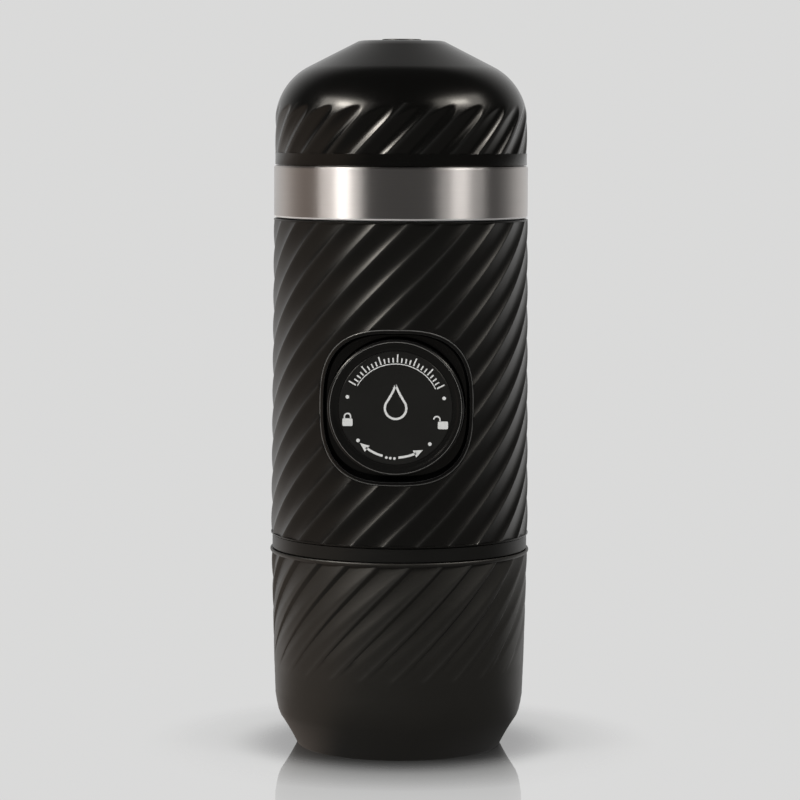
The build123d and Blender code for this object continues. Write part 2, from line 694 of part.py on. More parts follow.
def piston():
    """The piston head, grooved for its lip seal and bored for the rod."""
    middle = (PISTON_FRONT + PISTON_BACK) / 2
    half = LIP_SEAL_WIDTH / 2
    head = rod(BORE - PISTON_SIDE_GAP, PISTON_FRONT, PISTON_BACK)
    groove = tube(BORE, BORE - LIP_SEAL_DEPTH - FIT, middle - half, middle + half)
    return on_pump_axis(head - groove - rod(ROD_RADIUS + FIT, PISTON_FRONT, ROD_BACK))


def piston_seal():
    """The lip seal that runs in the bore."""
    middle = (PISTON_FRONT + PISTON_BACK) / 2
    half = LIP_SEAL_WIDTH / 2 - FIT
    return on_pump_axis(tube(BORE - FIT, BORE - LIP_SEAL_DEPTH, middle - half, middle + half))


def piston_rod():
    """The steel rod from the piston to the knob, drilled at the front for the knob's screw."""
    hole = rod(SCREW_SHANK, ROD_FRONT, ROD_FRONT + KNOB_SCREW_REACH + LOOSE)
    return on_pump_axis(rod(ROD_RADIUS, ROD_FRONT, ROD_BACK) - hole)


def knob_screw():
    """The screw that holds the knob on the rod and lets it turn."""
    seat = KNOB_SCREW_Y - PART_GAP
    shank = rod(SCREW_SHANK, seat, ROD_FRONT + KNOB_SCREW_REACH)
    return on_pump_axis(rod(SCREW_HEAD, seat - KNOB_SCREW_HEAD, seat) + shank)


def return_spring():
    """The spring between the rod guide and the knob."""
    front = KNOB_DISC_BACK + SEAM
    return on_pump_axis(coil(SPRING_RADIUS, SPRING_WIRE, SPRING_TURNS, front, GUIDE_FRONT - SEAM))


def lug_start(side):
    """The angle of a lug with the knob locked, so that its turn is centred above or below."""
    return side * 90.0 - LOCK_TURN / 2


def lug(turn):
    """One bayonet lug on the knob's skirt, centred at an angle about the pump axis."""
    front = KNOB_SKIRT_END - LUG_LENGTH
    ring = tube(KNOB_RADIUS + LUG_HEIGHT, KNOB_BORE, front, KNOB_SKIRT_END)
    return ring & wedge(turn - LUG_ANGLE / 2, turn + LUG_ANGLE / 2, front, KNOB_SKIRT_END)


def knob_cap():
    """The round knob: beaded rim, dished front, long skirt with two lugs, and the boss on the rod."""
    inner_rim = KNOB_RADIUS - KNOB_RIM
    boss_end = KNOB_DISC_BACK + BOSS_LENGTH
    outline = [
        (0, FACE_Y + FACE_THICK),
        (FACE_RADIUS + FIT, FACE_Y + FACE_THICK),
        (FACE_RADIUS + FIT, KNOB_FACE_Y + KNOB_DISH),
        (inner_rim, FACE_Y),
        (inner_rim + KNOB_BEAD, KNOB_FACE_Y),
        (KNOB_RADIUS - KNOB_EDGE, KNOB_FACE_Y),
        (KNOB_RADIUS, KNOB_FACE_Y + KNOB_EDGE),
        (KNOB_RADIUS, KNOB_SKIRT_END),
        (KNOB_BORE, KNOB_SKIRT_END),
        (KNOB_BORE, KNOB_DISC_BACK),
        (BOSS_RADIUS, KNOB_DISC_BACK),
        (BOSS_RADIUS, boss_end),
        (ROD_RADIUS + FIT, boss_end),
        (ROD_RADIUS + FIT, KNOB_DISC_BACK),
        (0, KNOB_DISC_BACK),
    ]
    cap = turned(outline) + lug(lug_start(-1)) + lug(lug_start(1))
    cap = cap - rod(SCREW_HEAD + PART_GAP, KNOB_FACE_Y, KNOB_SCREW_Y)
    return on_pump_axis(cap - rod(SCREW_SHANK + FIT, KNOB_FACE_Y, KNOB_DISC_BACK))


def knob_face():
    """The flat disc on the knob's front that carries the marks."""
    return on_pump_axis(rod(FACE_RADIUS, FACE_Y, FACE_Y + FACE_THICK))


def lug_channel(side):
    """The space behind the well's floor that one lug slides and turns in."""
    start = lug_start(side) - LUG_ANGLE / 2 - LUG_END_PLAY
    end = lug_start(side) + LOCK_TURN + LUG_ANGLE / 2 + LUG_END_PLAY
    sector = wedge(start, end, CHANNEL_Y, WELL_TUBE_END)
    return sector - rod(WELL_BORE - CUT_PAST, CHANNEL_Y, WELL_TUBE_END)


def button_well():
    """The rounded square well that the knob slides and turns in."""
    front = -WELL_RADIUS - CUT_PAST
    bezel = squircle_bar(WELL_WIDTH, WELL_HEIGHT, front, WELL_FLOOR_Y + WELL_FLOOR)
    bezel = bezel & rod(WELL_RADIUS, BODY_Z, BODY_TOP)
    dish_front = front - CUT_PAST
    dish = squircle_bar(WELL_WIDTH - 2 * WELL_LIP, WELL_HEIGHT - 2 * WELL_LIP, dish_front, WELL_FLOOR_Y)
    well = bezel - dish + on_pump_axis(rod(WELL_TUBE, WELL_FLOOR_Y, WELL_TUBE_END))
    cuts = [rod(WELL_BORE, dish_front, WELL_TUBE_END), lug_channel(-1), lug_channel(1)]
    return well - [on_pump_axis(cut) for cut in cuts]


def valve_block():
    """The block behind the barrel: inlet chamber below, outlet chamber above, one port to the bore."""
    half = BLOCK_WIDTH / 2
    back = CYLINDER_BACK + BLOCK_DEPTH
    block = box(-half, half, CYLINDER_BACK, back, BLOCK_Z, BLOCK_TOP)
    cuts = [
        rod(VALVE_BORE, BLOCK_Z, INLET_STEP_Z, 0, VALVE_Y),
        rod(PASSAGE, INLET_STEP_Z, OUTLET_SEAT_Z, 0, VALVE_Y),
        rod(VALVE_BORE, OUTLET_SEAT_Z, BLOCK_TOP, 0, VALVE_Y),
        on_pump_axis(rod(PASSAGE, CYLINDER_BACK, VALVE_Y)),
    ]
    depth = PUMP_SCREW_LENGTH - PUMP_FLANGE_THICK + LOOSE
    for x, y in pump_screw_places():
        cuts.append(on_pump_axis(rod(SCREW_SHANK + FIT, CYLINDER_BACK, CYLINDER_BACK + depth, x, y)))
    return block - cuts


def fitting(face, plug, barb):
    """A plug with a flange on the block's face and a hose barb, along Z, for either end of the block."""
    way = 1 if barb > face else -1
    pieces = [
        (VALVE_BORE - FIT, face, plug),
        (BARB_RADIUS, face, barb),
        (FITTING_FLANGE_RADIUS, face, face + way * FITTING_FLANGE),
    ]
    rods = [rod(radius, min(a, b), max(a, b), 0, VALVE_Y) for radius, a, b in pieces]
    return rods[0] + rods[1] + rods[2] - rod(BARB_BORE, min(plug, barb), max(plug, barb), 0, VALVE_Y)


def inlet_fitting():
    """The lower fitting, whose plug is the inlet ball's seat."""
    lower = fitting(BLOCK_Z, INLET_SEAT_Z, BLOCK_Z - FITTING_FLANGE - BARB_LENGTH)
    return lower - rod(PASSAGE, BLOCK_Z, INLET_SEAT_Z, 0, VALVE_Y)


def outlet_fitting():
    """The upper fitting, whose plug holds the outlet spring down."""
    return fitting(BLOCK_TOP, OUTLET_PLUG_Z, BLOCK_TOP + FITTING_FLANGE + BARB_LENGTH)


def ball(level):
    """One of the two valve balls."""
    return Pos(0, VALVE_Y, level) * Sphere(BALL_RADIUS)


def valve_spring(ball_level, top):
    """The small spring that holds a valve ball on its seat."""
    reach = VALVE_SPRING_RADIUS - VALVE_SPRING_WIRE / 2
    low = ball_level + math.sqrt(BALL_RADIUS**2 - reach**2) + SEAM
    spring = coil(VALVE_SPRING_RADIUS, VALVE_SPRING_WIRE, VALVE_SPRING_TURNS, low, top - SEAM / 2)
    return Pos(0, VALVE_Y, 0) * spring


def hose(low, high):
    """A soft straight hose between two barbs."""
    return Pos(0, VALVE_Y, 0) * tube(HOSE_BORE + HOSE_WALL, HOSE_BORE, low, high)


def water_hose():
    """The hose from the tank's outlet up to the inlet valve."""
    return hose(COLLAR_TOP + SEAM, BLOCK_Z - FITTING_FLANGE - SEAM)


def brew_hose():
    """The hose from the outlet valve up to the brew collar."""
    return hose(BLOCK_TOP + FITTING_FLANGE + SEAM, DECK_Z - SEAM)


def brew_collar():
    """The deck on top of the body with the threaded neck that the head screws onto."""
    outline = [
        (0, DECK_Z),
        (INNER_RADIUS, DECK_Z),
        (INNER_RADIUS, DECK_TOP),
        (BREW_NECK_RADIUS, DECK_TOP),
        (BREW_NECK_RADIUS, BREW_NECK_TOP),
        (BREW_BORE, BREW_NECK_TOP),
        (BREW_BORE, CHAMBER_Z),
        (0, CHAMBER_Z),
    ]
    collar = turned(outline) + thread(BREW_NECK_RADIUS, DECK_TOP + THREAD_WIDTH)
    collar = collar + rod(BARB_RADIUS, DECK_Z - BARB_LENGTH, DECK_Z, 0, VALVE_Y)
    cuts = [rod(BARB_BORE, DECK_Z - BARB_LENGTH, CHAMBER_Z, 0, VALVE_Y)]
    for x, y in deck_screw_places():
        cuts.append(rod(SCREW_SHANK + FIT, DECK_Z, DECK_Z + DECK_SCREW_REACH, x, y))
    return collar - cuts


def pin_places():
    """The circle of piercing pins on the shower plate, between the rings of holes."""
    angles = [2 * math.pi * (k + 0.25) / PIN_COUNT for k in range(PIN_COUNT)]
    return [(PIN_CIRCLE * math.cos(a), PIN_CIRCLE * math.sin(a)) for a in angles]


def shower_plate():
    """The perforated steel plate that spreads the water, on a short rim."""
    radius = BREW_BORE - PART_GAP
    rim = radius - SHOWER_LIP
    outline = [
        (0, PLATE_Z),
        (rim, PLATE_Z),
        (rim, CHAMBER_Z),
        (radius, CHAMBER_Z),
        (radius, PLATE_TOP),
        (0, PLATE_TOP),
    ]
    holes = ring_of_holes(SHOWER_RINGS, SHOWER_PITCH, SHOWER_HOLE, PLATE_Z, PLATE_TOP)
    holes = holes + [rod(PIN_RADIUS + FIT, PLATE_Z, PLATE_TOP, x, y) for x, y in pin_places()]
    return turned(outline) - holes


def piercing_pins():
    """The three steel pins that open a capsule."""
    half = PIN_LENGTH / 2
    pins = []
    for x, y in pin_places():
        shank = rod(PIN_RADIUS, PLATE_Z, PLATE_TOP + half, x, y)
        point = Cone(PIN_RADIUS, PIN_POINT, half, align=(Align.CENTER, Align.CENTER, Align.MIN))
        pins.append(shank + Pos(x, y, PLATE_TOP + half) * point)
    return Compound(pins)


def brew_seal():
    """The gasket on the shower plate that the basket's flange presses."""
    outer = BREW_BORE - PART_GAP
    return tube(outer, outer - BREW_SEAL_WIDTH, PLATE_TOP, BREW_SEAL_TOP)


def filter_basket():
    """The steel basket, mouth down over the shower plate, with a lip at the top for the screen."""
    mouth = BASKET_BORE - SCREEN_LIP
    outline = [
        (BASKET_BORE, BASKET_Z),
        (BASKET_FLANGE, BASKET_Z),
        (BASKET_FLANGE, BASKET_SEAL_Z),
        (BASKET_RADIUS, BASKET_SEAL_Z),
        (BASKET_RADIUS, BASKET_TOP),
        (mouth, BASKET_TOP),
        (mouth, BASKET_TOP - BASKET_WALL),
        (BASKET_BORE, BASKET_TOP - BASKET_WALL),
    ]
    return turned(outline)


def basket_screen():
    """The perforated disc that closes the basket above."""
    high = BASKET_TOP - BASKET_WALL
    low = high - SCREEN_THICK
    holes = ring_of_holes(SCREEN_RINGS, SCREEN_PITCH, SCREEN_HOLE, low, high)
    return rod(BASKET_BORE - FIT, low, high) - holes


def basket_seal():
    """The soft ring on the basket's flange that the head presses."""
    return tube(BASKET_FLANGE, BASKET_RADIUS + FIT, BASKET_SEAL_Z, BASKET_SEAL_Z + BASKET_SEAL_THICK)


def dome_points():
    """The places where the dome's outside turns: end of the cone, middle of the shoulder, its start."""
    slope = math.radians(CONE_SLOPE)
    centre_r = DOME_RADIUS - SHOULDER_RADIUS
    touch_r = centre_r + SHOULDER_RADIUS * math.sin(slope)
    touch_z = DOME_TOP - (touch_r - FLAT_RADIUS) * math.tan(slope)
    centre_z = touch_z - SHOULDER_RADIUS * math.cos(slope)
    middle = math.radians(90 - CONE_SLOPE) / 2
    mid = (centre_r + SHOULDER_RADIUS * math.cos(middle), centre_z + SHOULDER_RADIUS * math.sin(middle))
    return (touch_r, touch_z), mid, centre_z


def dome_blank():
    """The dome's smooth outer form, with the skirt that goes up inside the band."""
    touch, mid, shoulder = dome_points()
    edges = [
        Line((0, SKIRT_Z), (SKIRT_RADIUS, SKIRT_Z)),
        Line((SKIRT_RADIUS, SKIRT_Z), (SKIRT_RADIUS, DOME_Z)),
        Line((SKIRT_RADIUS, DOME_Z), (DOME_RADIUS, DOME_Z)),
        Line((DOME_RADIUS, DOME_Z), (DOME_RADIUS, shoulder)),
        ThreePointArc((DOME_RADIUS, shoulder), mid, touch),
        Line(touch, (FLAT_RADIUS, DOME_TOP)),
        Line((FLAT_RADIUS, DOME_TOP), (0, DOME_TOP)),
        Line((0, DOME_TOP), (0, SKIRT_Z)),
    ]
    return revolve(Plane.XZ * make_face(edges), axis=Axis.Z)


def dome_head():
    """The black dome: ridged skirt, smooth crown, room inside for the funnel and the basket."""
    (touch_r, touch_z), _, shoulder = dome_points()
    step_radius = DOME_RADIUS - 2 * DOME_WALL
    crown = DOME_TOP - DOME_WALL
    hollow = turned([
        (0, STEP_Z),
        (step_radius, STEP_Z),
        (step_radius, shoulder),
        (touch_r - DOME_WALL, touch_z - DOME_WALL),
        (FLAT_RADIUS - DOME_WALL * math.tan(math.radians(CONE_SLOPE)), crown),
        (0, crown),
    ])
    ledge = DOME_Z + LEDGE_HEIGHT
    root = DOME_RADIUS - RIDGE_DEPTH
    ring = tube(DOME_RADIUS + CUT_PAST, root - CUT_PAST, ledge, touch_z)
    grooves = ring - ridged_column(DOME_RADIUS + RIDGE_DEPTH / 2, root, ledge, touch_z, DOME_RIDGE_AT)
    dome = dome_blank() - grooves - rod(SKIRT_BORE, SKIRT_Z, STEP_Z) - hollow
    return dome - rod(TIP_RADIUS + FIT, crown - CUT_PAST, DOME_TOP)


def nozzle_tip():
    """The small round tip in the middle of the dome that the coffee leaves by."""
    tip = rod(TIP_RADIUS, TIP_Z, TIP_TOP)
    return tip - rod(SPOUT_RADIUS + FIT, TIP_Z, TIP_Z + TIP_SOCKET) - rod(TIP_BORE, TIP_Z, TIP_TOP)


def steel_band():
    """The brushed steel sleeve on the head's skirt, bevelled at both edges."""
    outline = [
        (BAND_BORE, BAND_Z),
        (BAND_RADIUS - BAND_BEVEL, BAND_Z),
        (BAND_RADIUS, BAND_Z + BAND_BEVEL),
        (BAND_RADIUS, BAND_TOP - BAND_BEVEL),
        (BAND_RADIUS - BAND_BEVEL, BAND_TOP),
        (BAND_BORE, BAND_TOP),
    ]
    return turned(outline)


def outlet_funnel():
    """The liner over the basket that gathers the coffee and leads it up to the tip."""
    top = CONE_CEILING + CONE_FLOOR
    flange = SKIRT_BORE - FIT
    outline = [
        (CONE_BORE, CONE_Z),
        (CONE_RADIUS, CONE_Z),
        (CONE_RADIUS, CONE_FLANGE_Z),
        (flange, CONE_FLANGE_Z),
        (flange, STEP_Z),
        (CONE_RADIUS, STEP_Z),
        (CONE_RADIUS, top),
        (SPOUT_RADIUS, top),
        (SPOUT_RADIUS, SPOUT_TOP),
        (SPOUT_BORE, SPOUT_TOP),
        (SPOUT_BORE, CONE_CEILING + LOOSE),
        (CONE_BORE, CONE_CEILING),
    ]
    return turned(outline)


def head_seal():
    """The gasket inside the head that closes on the neck's rim."""
    return tube(BREW_NECK_RADIUS, CONE_RADIUS + FIT, HEAD_SEAL_Z, CONE_FLANGE_Z)


PIECES = {
    "drinking_cup": drinking_cup,
    "water_tank": water_tank,
    "cup_grip_ring": cup_grip_ring,
    "tank_collar": tank_collar,
    "tank_seal": tank_seal,
    "suction_strainer": suction_strainer,
    "vent_valve": vent_valve,
    "body_shell": body_shell,
    "chassis": chassis,
    "chassis_screws": chassis_screws,
    "deck_screws": deck_screws,
    "pump_cylinder": pump_cylinder,
    "pump_ring_seal": pump_ring_seal,
    "pump_screws": pump_screws,
    "rod_guide": rod_guide,
    "piston": piston,
    "piston_seal": piston_seal,
    "piston_rod": piston_rod,
    "return_spring": return_spring,
    "knob_screw": knob_screw,
    "knob_cap": knob_cap,
    "knob_face": knob_face,
    "button_well": button_well,
    "valve_block": valve_block,
    "inlet_fitting": inlet_fitting,
    "outlet_fitting": outlet_fitting,
    "inlet_ball": lambda: ball(INLET_BALL_Z),
    "outlet_ball": lambda: ball(OUTLET_BALL_Z),
    "inlet_spring": lambda: valve_spring(INLET_BALL_Z, INLET_STEP_Z),
    "outlet_spring": lambda: valve_spring(OUTLET_BALL_Z, OUTLET_PLUG_Z),
    "water_hose": water_hose,
    "brew_hose": brew_hose,
    "brew_collar": brew_collar,
    "shower_plate": shower_plate,
    "piercing_pins": piercing_pins,
    "brew_seal": brew_seal,
    "filter_basket": filter_basket,
    "basket_screen": basket_screen,
    "basket_seal": basket_seal,
    "dome_head": dome_head,
    "nozzle_tip": nozzle_tip,
    "steel_band": steel_band,
    "outlet_funnel": outlet_funnel,
    "head_seal": head_seal,
}

os.makedirs("parts", exist_ok=True)
for name, make in PIECES.items():
    piece = make()
    export_step(piece, f"parts/{name}.step")
    print(name, len(piece.solids()), "solid", round(piece.volume))
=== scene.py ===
import json
import logging
import math
from dataclasses import dataclass, field
from enum import Enum
from typing import Any, Callable, Mapping, Optional, Sequence, Union

import bmesh
import bpy
from bmesh.types import BMesh, BMVert
from mathutils import Matrix, Vector
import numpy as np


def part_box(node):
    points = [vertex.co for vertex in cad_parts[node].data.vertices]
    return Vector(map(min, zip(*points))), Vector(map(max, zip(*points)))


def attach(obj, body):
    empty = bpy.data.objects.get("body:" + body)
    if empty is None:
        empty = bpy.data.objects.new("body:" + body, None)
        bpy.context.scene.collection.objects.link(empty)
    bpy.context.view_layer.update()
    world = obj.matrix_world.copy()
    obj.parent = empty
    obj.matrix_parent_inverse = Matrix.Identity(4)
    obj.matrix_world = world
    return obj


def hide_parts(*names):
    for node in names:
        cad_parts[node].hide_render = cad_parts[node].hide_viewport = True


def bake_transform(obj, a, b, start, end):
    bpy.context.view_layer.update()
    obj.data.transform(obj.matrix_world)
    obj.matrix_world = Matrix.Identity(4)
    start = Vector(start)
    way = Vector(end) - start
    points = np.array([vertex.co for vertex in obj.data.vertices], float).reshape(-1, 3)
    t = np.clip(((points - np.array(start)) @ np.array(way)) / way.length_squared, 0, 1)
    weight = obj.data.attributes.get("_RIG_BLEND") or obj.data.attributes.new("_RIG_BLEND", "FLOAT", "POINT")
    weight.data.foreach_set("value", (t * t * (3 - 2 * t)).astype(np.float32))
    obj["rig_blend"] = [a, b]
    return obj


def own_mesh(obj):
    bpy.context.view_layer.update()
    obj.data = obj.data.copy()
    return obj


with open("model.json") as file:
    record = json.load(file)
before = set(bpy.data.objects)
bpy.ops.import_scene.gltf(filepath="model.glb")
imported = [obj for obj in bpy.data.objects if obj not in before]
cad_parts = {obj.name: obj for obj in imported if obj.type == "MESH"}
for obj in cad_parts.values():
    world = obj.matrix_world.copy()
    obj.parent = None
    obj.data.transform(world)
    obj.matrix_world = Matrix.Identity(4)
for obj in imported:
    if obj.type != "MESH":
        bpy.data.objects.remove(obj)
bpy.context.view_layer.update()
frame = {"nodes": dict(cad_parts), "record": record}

log = logging.getLogger("espresso_maker")

# Lengths in this file are millimetres, and meshes are metres
MM = 0.001
SMOOTH_UNDER = math.radians(32.0)
MERGE_WITHIN = 1e-7
CENTRE = (0.0, 0.0, 0.0)
UP = (0.0, 0.0, 1.0)
BLACK = (0.0, 0.0, 0.0)
WHITE = (1.0, 1.0, 1.0)

# Points of an edge: how far inside a radius, how far above a height, and how bright a glint is painted into
# its colour
Rows = Sequence[tuple[float, float, float]]


class Body(Enum):
    """The moving groups that the pieces ride on, by the frame's names."""

    CUP = "drinking_cup"
    PUMP_BODY = "main_body"
    PISTON = "piston"
    KNOB = "knob"
    HEAD = "head"


class Lock(Enum):
    """The two padlock marks on the knob."""

    CLOSED = "closed"
    OPEN = "open"


@dataclass(frozen=True)
class Extent:
    """The box of one CAD node, in millimetres."""

    low: Vector
    high: Vector

    @classmethod
    def of(cls, node: str) -> "Extent":
        """The box at rest of the CAD node of that name."""
        low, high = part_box(node)
        return cls(low / MM, high / MM)

    @property
    def radius(self) -> float:
        """Half the width along X."""
        return (self.high.x - self.low.x) / 2

    @property
    def middle(self) -> Vector:
        """The centre of the box."""
        return (self.low + self.high) / 2


def turned_by(degrees: float, axis: str = "Z") -> Matrix:
    """A turn about an axis through the origin."""
    return Matrix.Rotation(math.radians(degrees), 4, axis)


def moved_by(x: float, y: float, z: float) -> Matrix:
    """A move by millimetres."""
    return Matrix.Translation((x * MM, y * MM, z * MM))


def outward(mesh: BMesh) -> BMesh:
    """Turns every face of a mesh outwards, and returns the mesh."""
    bmesh.ops.recalc_face_normals(mesh, faces=mesh.faces[:])
    return mesh


def verts_of(made: Mapping[str, Any], key: str = "geom") -> list[BMVert]:
    """The vertices among what an operator made."""
    return [item for item in made[key] if isinstance(item, BMVert)]


def swept(mesh: BMesh, geom: Sequence[Any], degrees: float, steps: int, centre: Sequence[float] = CENTRE,
          axis: Sequence[float] = UP, climb: float = 0.0, whole: bool = False) -> Mapping[str, Any]:
    """Spins part of a mesh about an axis.

    Args:
        mesh: The mesh, which is changed.
        geom: What to spin.
        degrees: Angle turned in all.
        steps: Number of steps.
        centre: A point on the axis, in metres.
        axis: Direction of the axis.
        climb: Move along Z in each step, in metres.
        whole: Whether the last step meets the first.

    Returns:
        What the operator made.
    """
    return bmesh.ops.spin(
        mesh, geom=geom, cent=centre, axis=axis, dvec=(0.0, 0.0, climb), angle=math.radians(degrees),
        steps=steps, use_merge=whole, use_duplicate=False,
    )


def thickened(mesh: BMesh, move: Sequence[float]) -> BMesh:
    """Gives a flat mesh a thickness.

    Args:
        mesh: The mesh, which is changed.
        move: The way from its first side to its second, in millimetres.

    Returns:
        The mesh, with its faces outwards.
    """
    made = bmesh.ops.extrude_face_region(mesh, geom=mesh.faces[:])
    bmesh.ops.translate(mesh, verts=verts_of(made), vec=Vector(move) * MM)
    return outward(mesh)


class Pen:
    """Draws a section in the XZ plane with straight runs and arcs, and turns it about Z."""

    def __init__(self, radius: float, height: float) -> None:
        """Starts a section.

        Args:
            radius: Distance of the first point from the axis.
            height: Its height.
        """
        self.mesh = bmesh.new()
        # Each point carries how much lighter its colour is made: a painted glint on edges, and on ridge
        # crests wear with a painted highlight
        self.rub = self.mesh.verts.layers.float.new("rub")
        self.first = self.mesh.verts.new((radius * MM, 0.0, height * MM))
        self.tip = self.first

    def line(self, radius: float, height: float, row: Optional[float] = None) -> "Pen":
        """Draws a straight run.

        Args:
            radius: Distance of its end from the axis.
            height: Height of its end.
            row: Longest piece that the run is divided into, or None for one piece.

        Returns:
            The pen, so that calls can follow each other.
        """
        start = self.tip.co.copy()
        end = Vector((radius, 0.0, height)) * MM
        pieces = 1 if row is None else max(1, math.ceil((end - start).length / (row * MM)))
        for k in range(1, pieces + 1):
            self.tip = bmesh.ops.extrude_vert_indiv(self.mesh, verts=[self.tip])["verts"][0]
            self.tip.co = start.lerp(end, k / pieces)
            self.tip[self.rub] = 0.0
        return self

    def glint(self, rub: float = 1.0) -> "Pen":
        """Marks the last point as an edge with a glint painted into its colour."""
        self.tip[self.rub] = rub
        return self

    def edge(self, radius: float, height: float, rows: Rows) -> "Pen":
        """Draws an edge, point by point.

        Args:
            radius: Distance from the axis that its points are counted inwards from.
            height: Height that they are counted upwards from.
            rows: Its points.

        Returns:
            The pen.
        """
        for inside, above, rub in rows:
            self.line(radius - inside, height + above).glint(rub)
        return self

    def arc(self, centre_radius: float, centre_height: float, turn: float, steps: int) -> "Pen":
        """Draws an arc from the tip about a centre.

        Args:
            centre_radius: Distance of the arc's centre from the axis.
            centre_height: Height of the centre.
            turn: Degrees turned, from outwards towards up.
            steps: Number of pieces in the arc.

        Returns:
            The pen.
        """
        centre = Vector((centre_radius, 0.0, centre_height)) * MM
        made = swept(self.mesh, [self.tip], turn, steps, centre, (0.0, -1.0, 0.0))
        self.tip = verts_of(made, "geom_last")[0]
        return self

    def turned(self, columns: int, closed: bool = True) -> BMesh:
        """Turns the section into a solid of revolution.

        Args:
            columns: Number of steps round the axis.
            closed: Whether the last point joins the first. A section that ends on the axis isn't closed.

        Returns:
            The mesh, with its faces outwards.
        """
        if closed:
            self.mesh.edges.new((self.tip, self.first))
        swept(self.mesh, self.mesh.verts[:] + self.mesh.edges[:], 360.0, columns, whole=True)
        bmesh.ops.remove_doubles(self.mesh, verts=self.mesh.verts[:], dist=MERGE_WITHIN)
        return outward(self.mesh)


@dataclass(frozen=True)
class Ridges:
    """Twisted ridges that climb to the right: a fall from each crest, then a rise to the next.

    Attributes:
        start: Turn of a crest at height 0, in degrees from the front.
        low: Height where the grooves begin.
        high: Height where they end.
        root_low: Radius of the groove's bottom at its low end.
        root_high: The same at its high end.
        rise: Height of the crests over the roots.
        count: Number of ridges.
        lead: Height of one whole turn.
        flank: Share of each ridge that rises.
        fall_curve: Power of the fall, over 1 for a scooped one.
        rise_curve: Power of the rise.
        flank_columns: Mesh columns on the rise, out of those of one ridge.
        soften: Share over which its edges are rounded.
        COLUMNS: Mesh columns of one ridge.
        CROWDING: Power that draws the columns of the rise towards the crest.
        SAMPLES: Samples that an edge is rounded with.
        NUDGE: Share of a column that keeps the first column of a ridge on its own side.
    """

    start: float
    low: float
    high: float
    root_low: float
    root_high: float
    rise: float = 0.55
    count: int = 25
    lead: float = 203.0
    flank: float = 0.42
    fall_curve: float = 1.5
    rise_curve: float = 2.2
    flank_columns: int = 10
    soften: float = 0.03

    COLUMNS = 16
    CROWDING = 1.6
    SAMPLES = 7
    NUDGE = 0.25

    def sharp(self, share: float) -> float:
        """Height over the root of an unrounded ridge, from 0 to 1, at a share of its width.

        Args:
            share: The share, counted from a crest.

        Returns:
            The height.
        """
        share = share % 1.0
        fall = 1.0 - self.flank
        if share < fall:
            return (1.0 - share / fall) ** self.fall_curve
        return ((share - fall) / self.flank) ** self.rise_curve

    def profile(self, share: float) -> float:
        """Height over the root of the rounded ridge, from 0 to 1, at a share of its width."""
        steps = [self.soften * (k / (self.SAMPLES - 1) - 0.5) for k in range(self.SAMPLES)]
        return sum(self.sharp(share + step) for step in steps) / self.SAMPLES

    def warped(self, share: float) -> float:
        """Where a column goes that was evenly spaced, closer together on the rise.

        Args:
            share: Its even place, as a share of the ridge's width.

        Returns:
            Its new place.
        """
        slow = 1.0 - self.flank_columns / self.COLUMNS
        begin = self.soften / 2
        foot = 1.0 - self.flank
        if share < slow:
            return begin + (foot - begin) * share / slow
        left = 1.0 - (share - slow) / (1.0 - slow)
        return 1.0 + begin - (1.0 + begin - foot) * left ** self.CROWDING

    def root(self, height: float) -> float:
        """Radius of the groove's bottom at a height."""
        share = (height - self.low) / (self.high - self.low)
        return self.root_low + (self.root_high - self.root_low) * share

    def turned(self, pen: Pen, outer: float, closed: bool = True) -> BMesh:
        """Turns a section, twists it along the ridges and presses the grooves into its outside.

        Args:
            pen: The section.
            outer: Least radius of what counts as the outside.
            closed: Whether its last point joins the first.

        Returns:
            The ridged mesh.
        """
        mesh = pen.turned(self.count * self.COLUMNS, closed)
        rub = mesh.verts.layers.float["rub"]
        width = math.tau / self.count
        nudge = self.NUDGE / self.COLUMNS
        for vert in mesh.verts:
            radius = math.hypot(vert.co.x, vert.co.y) / MM
            if radius < MERGE_WITHIN / MM:
                continue
            height = vert.co.z / MM
            turn = math.atan2(vert.co.x, -vert.co.y) / width + nudge
            ridge = math.floor(turn)
            share = self.warped(turn - ridge - nudge)
            if radius > outer and self.low < height < self.high:
                crest = self.profile(share)
                radius = min(radius, self.root(height) + self.rise * crest)
                # Crests get a lighter colour: wear, and a painted highlight along them
                vert[rub] = crest
            angle = (ridge + share) * width + math.radians(self.start + 360.0 * height / self.lead)
            vert.co.x = radius * math.sin(angle) * MM
            vert.co.y = -radius * math.cos(angle) * MM
        return mesh


@dataclass(frozen=True)
class Fade:
    """How a level follows a value.

    Attributes:
        start: The value where the level begins to change.
        end: The value where it ends.
        first: Level at the start and before.
        last: Level at the end and beyond.
        kind: SMOOTHSTEP or LINEAR.
    """

    start: float
    end: float
    first: float
    last: float
    kind: str = "SMOOTHSTEP"


Input = Union[float, Sequence[float], "Value"]


def operator(kind: str, reflected: bool = False) -> Callable[["Value", Input], "Value"]:
    """Makes a method that adds one Math node.

    Args:
        kind: The node's operation.
        reflected: Whether the other value comes first.

    Returns:
        The method, which takes the other value and returns the node's output.
    """
    def apply(own: "Value", other: Input) -> "Value":
        """Adds the node and returns its output."""
        first, second = (other, own) if reflected else (own, other)
        return own.bench.node("ShaderNodeMath", {0: first, 1: second}, operation=kind)

    return apply


class Value:
    """A shader output that takes part in Python expressions."""

    def __init__(self, bench: "Bench", socket: bpy.types.NodeSocket) -> None:
        """Wraps a socket of one bench's tree."""
        self.bench = bench
        self.socket = socket

    __add__, __radd__ = operator("ADD"), operator("ADD", reflected=True)
    __sub__, __rsub__ = operator("SUBTRACT"), operator("SUBTRACT", reflected=True)
    __mul__, __rmul__ = operator("MULTIPLY"), operator("MULTIPLY", reflected=True)
    __pow__, __rpow__ = operator("POWER"), operator("POWER", reflected=True)
    highest = operator("MAXIMUM")


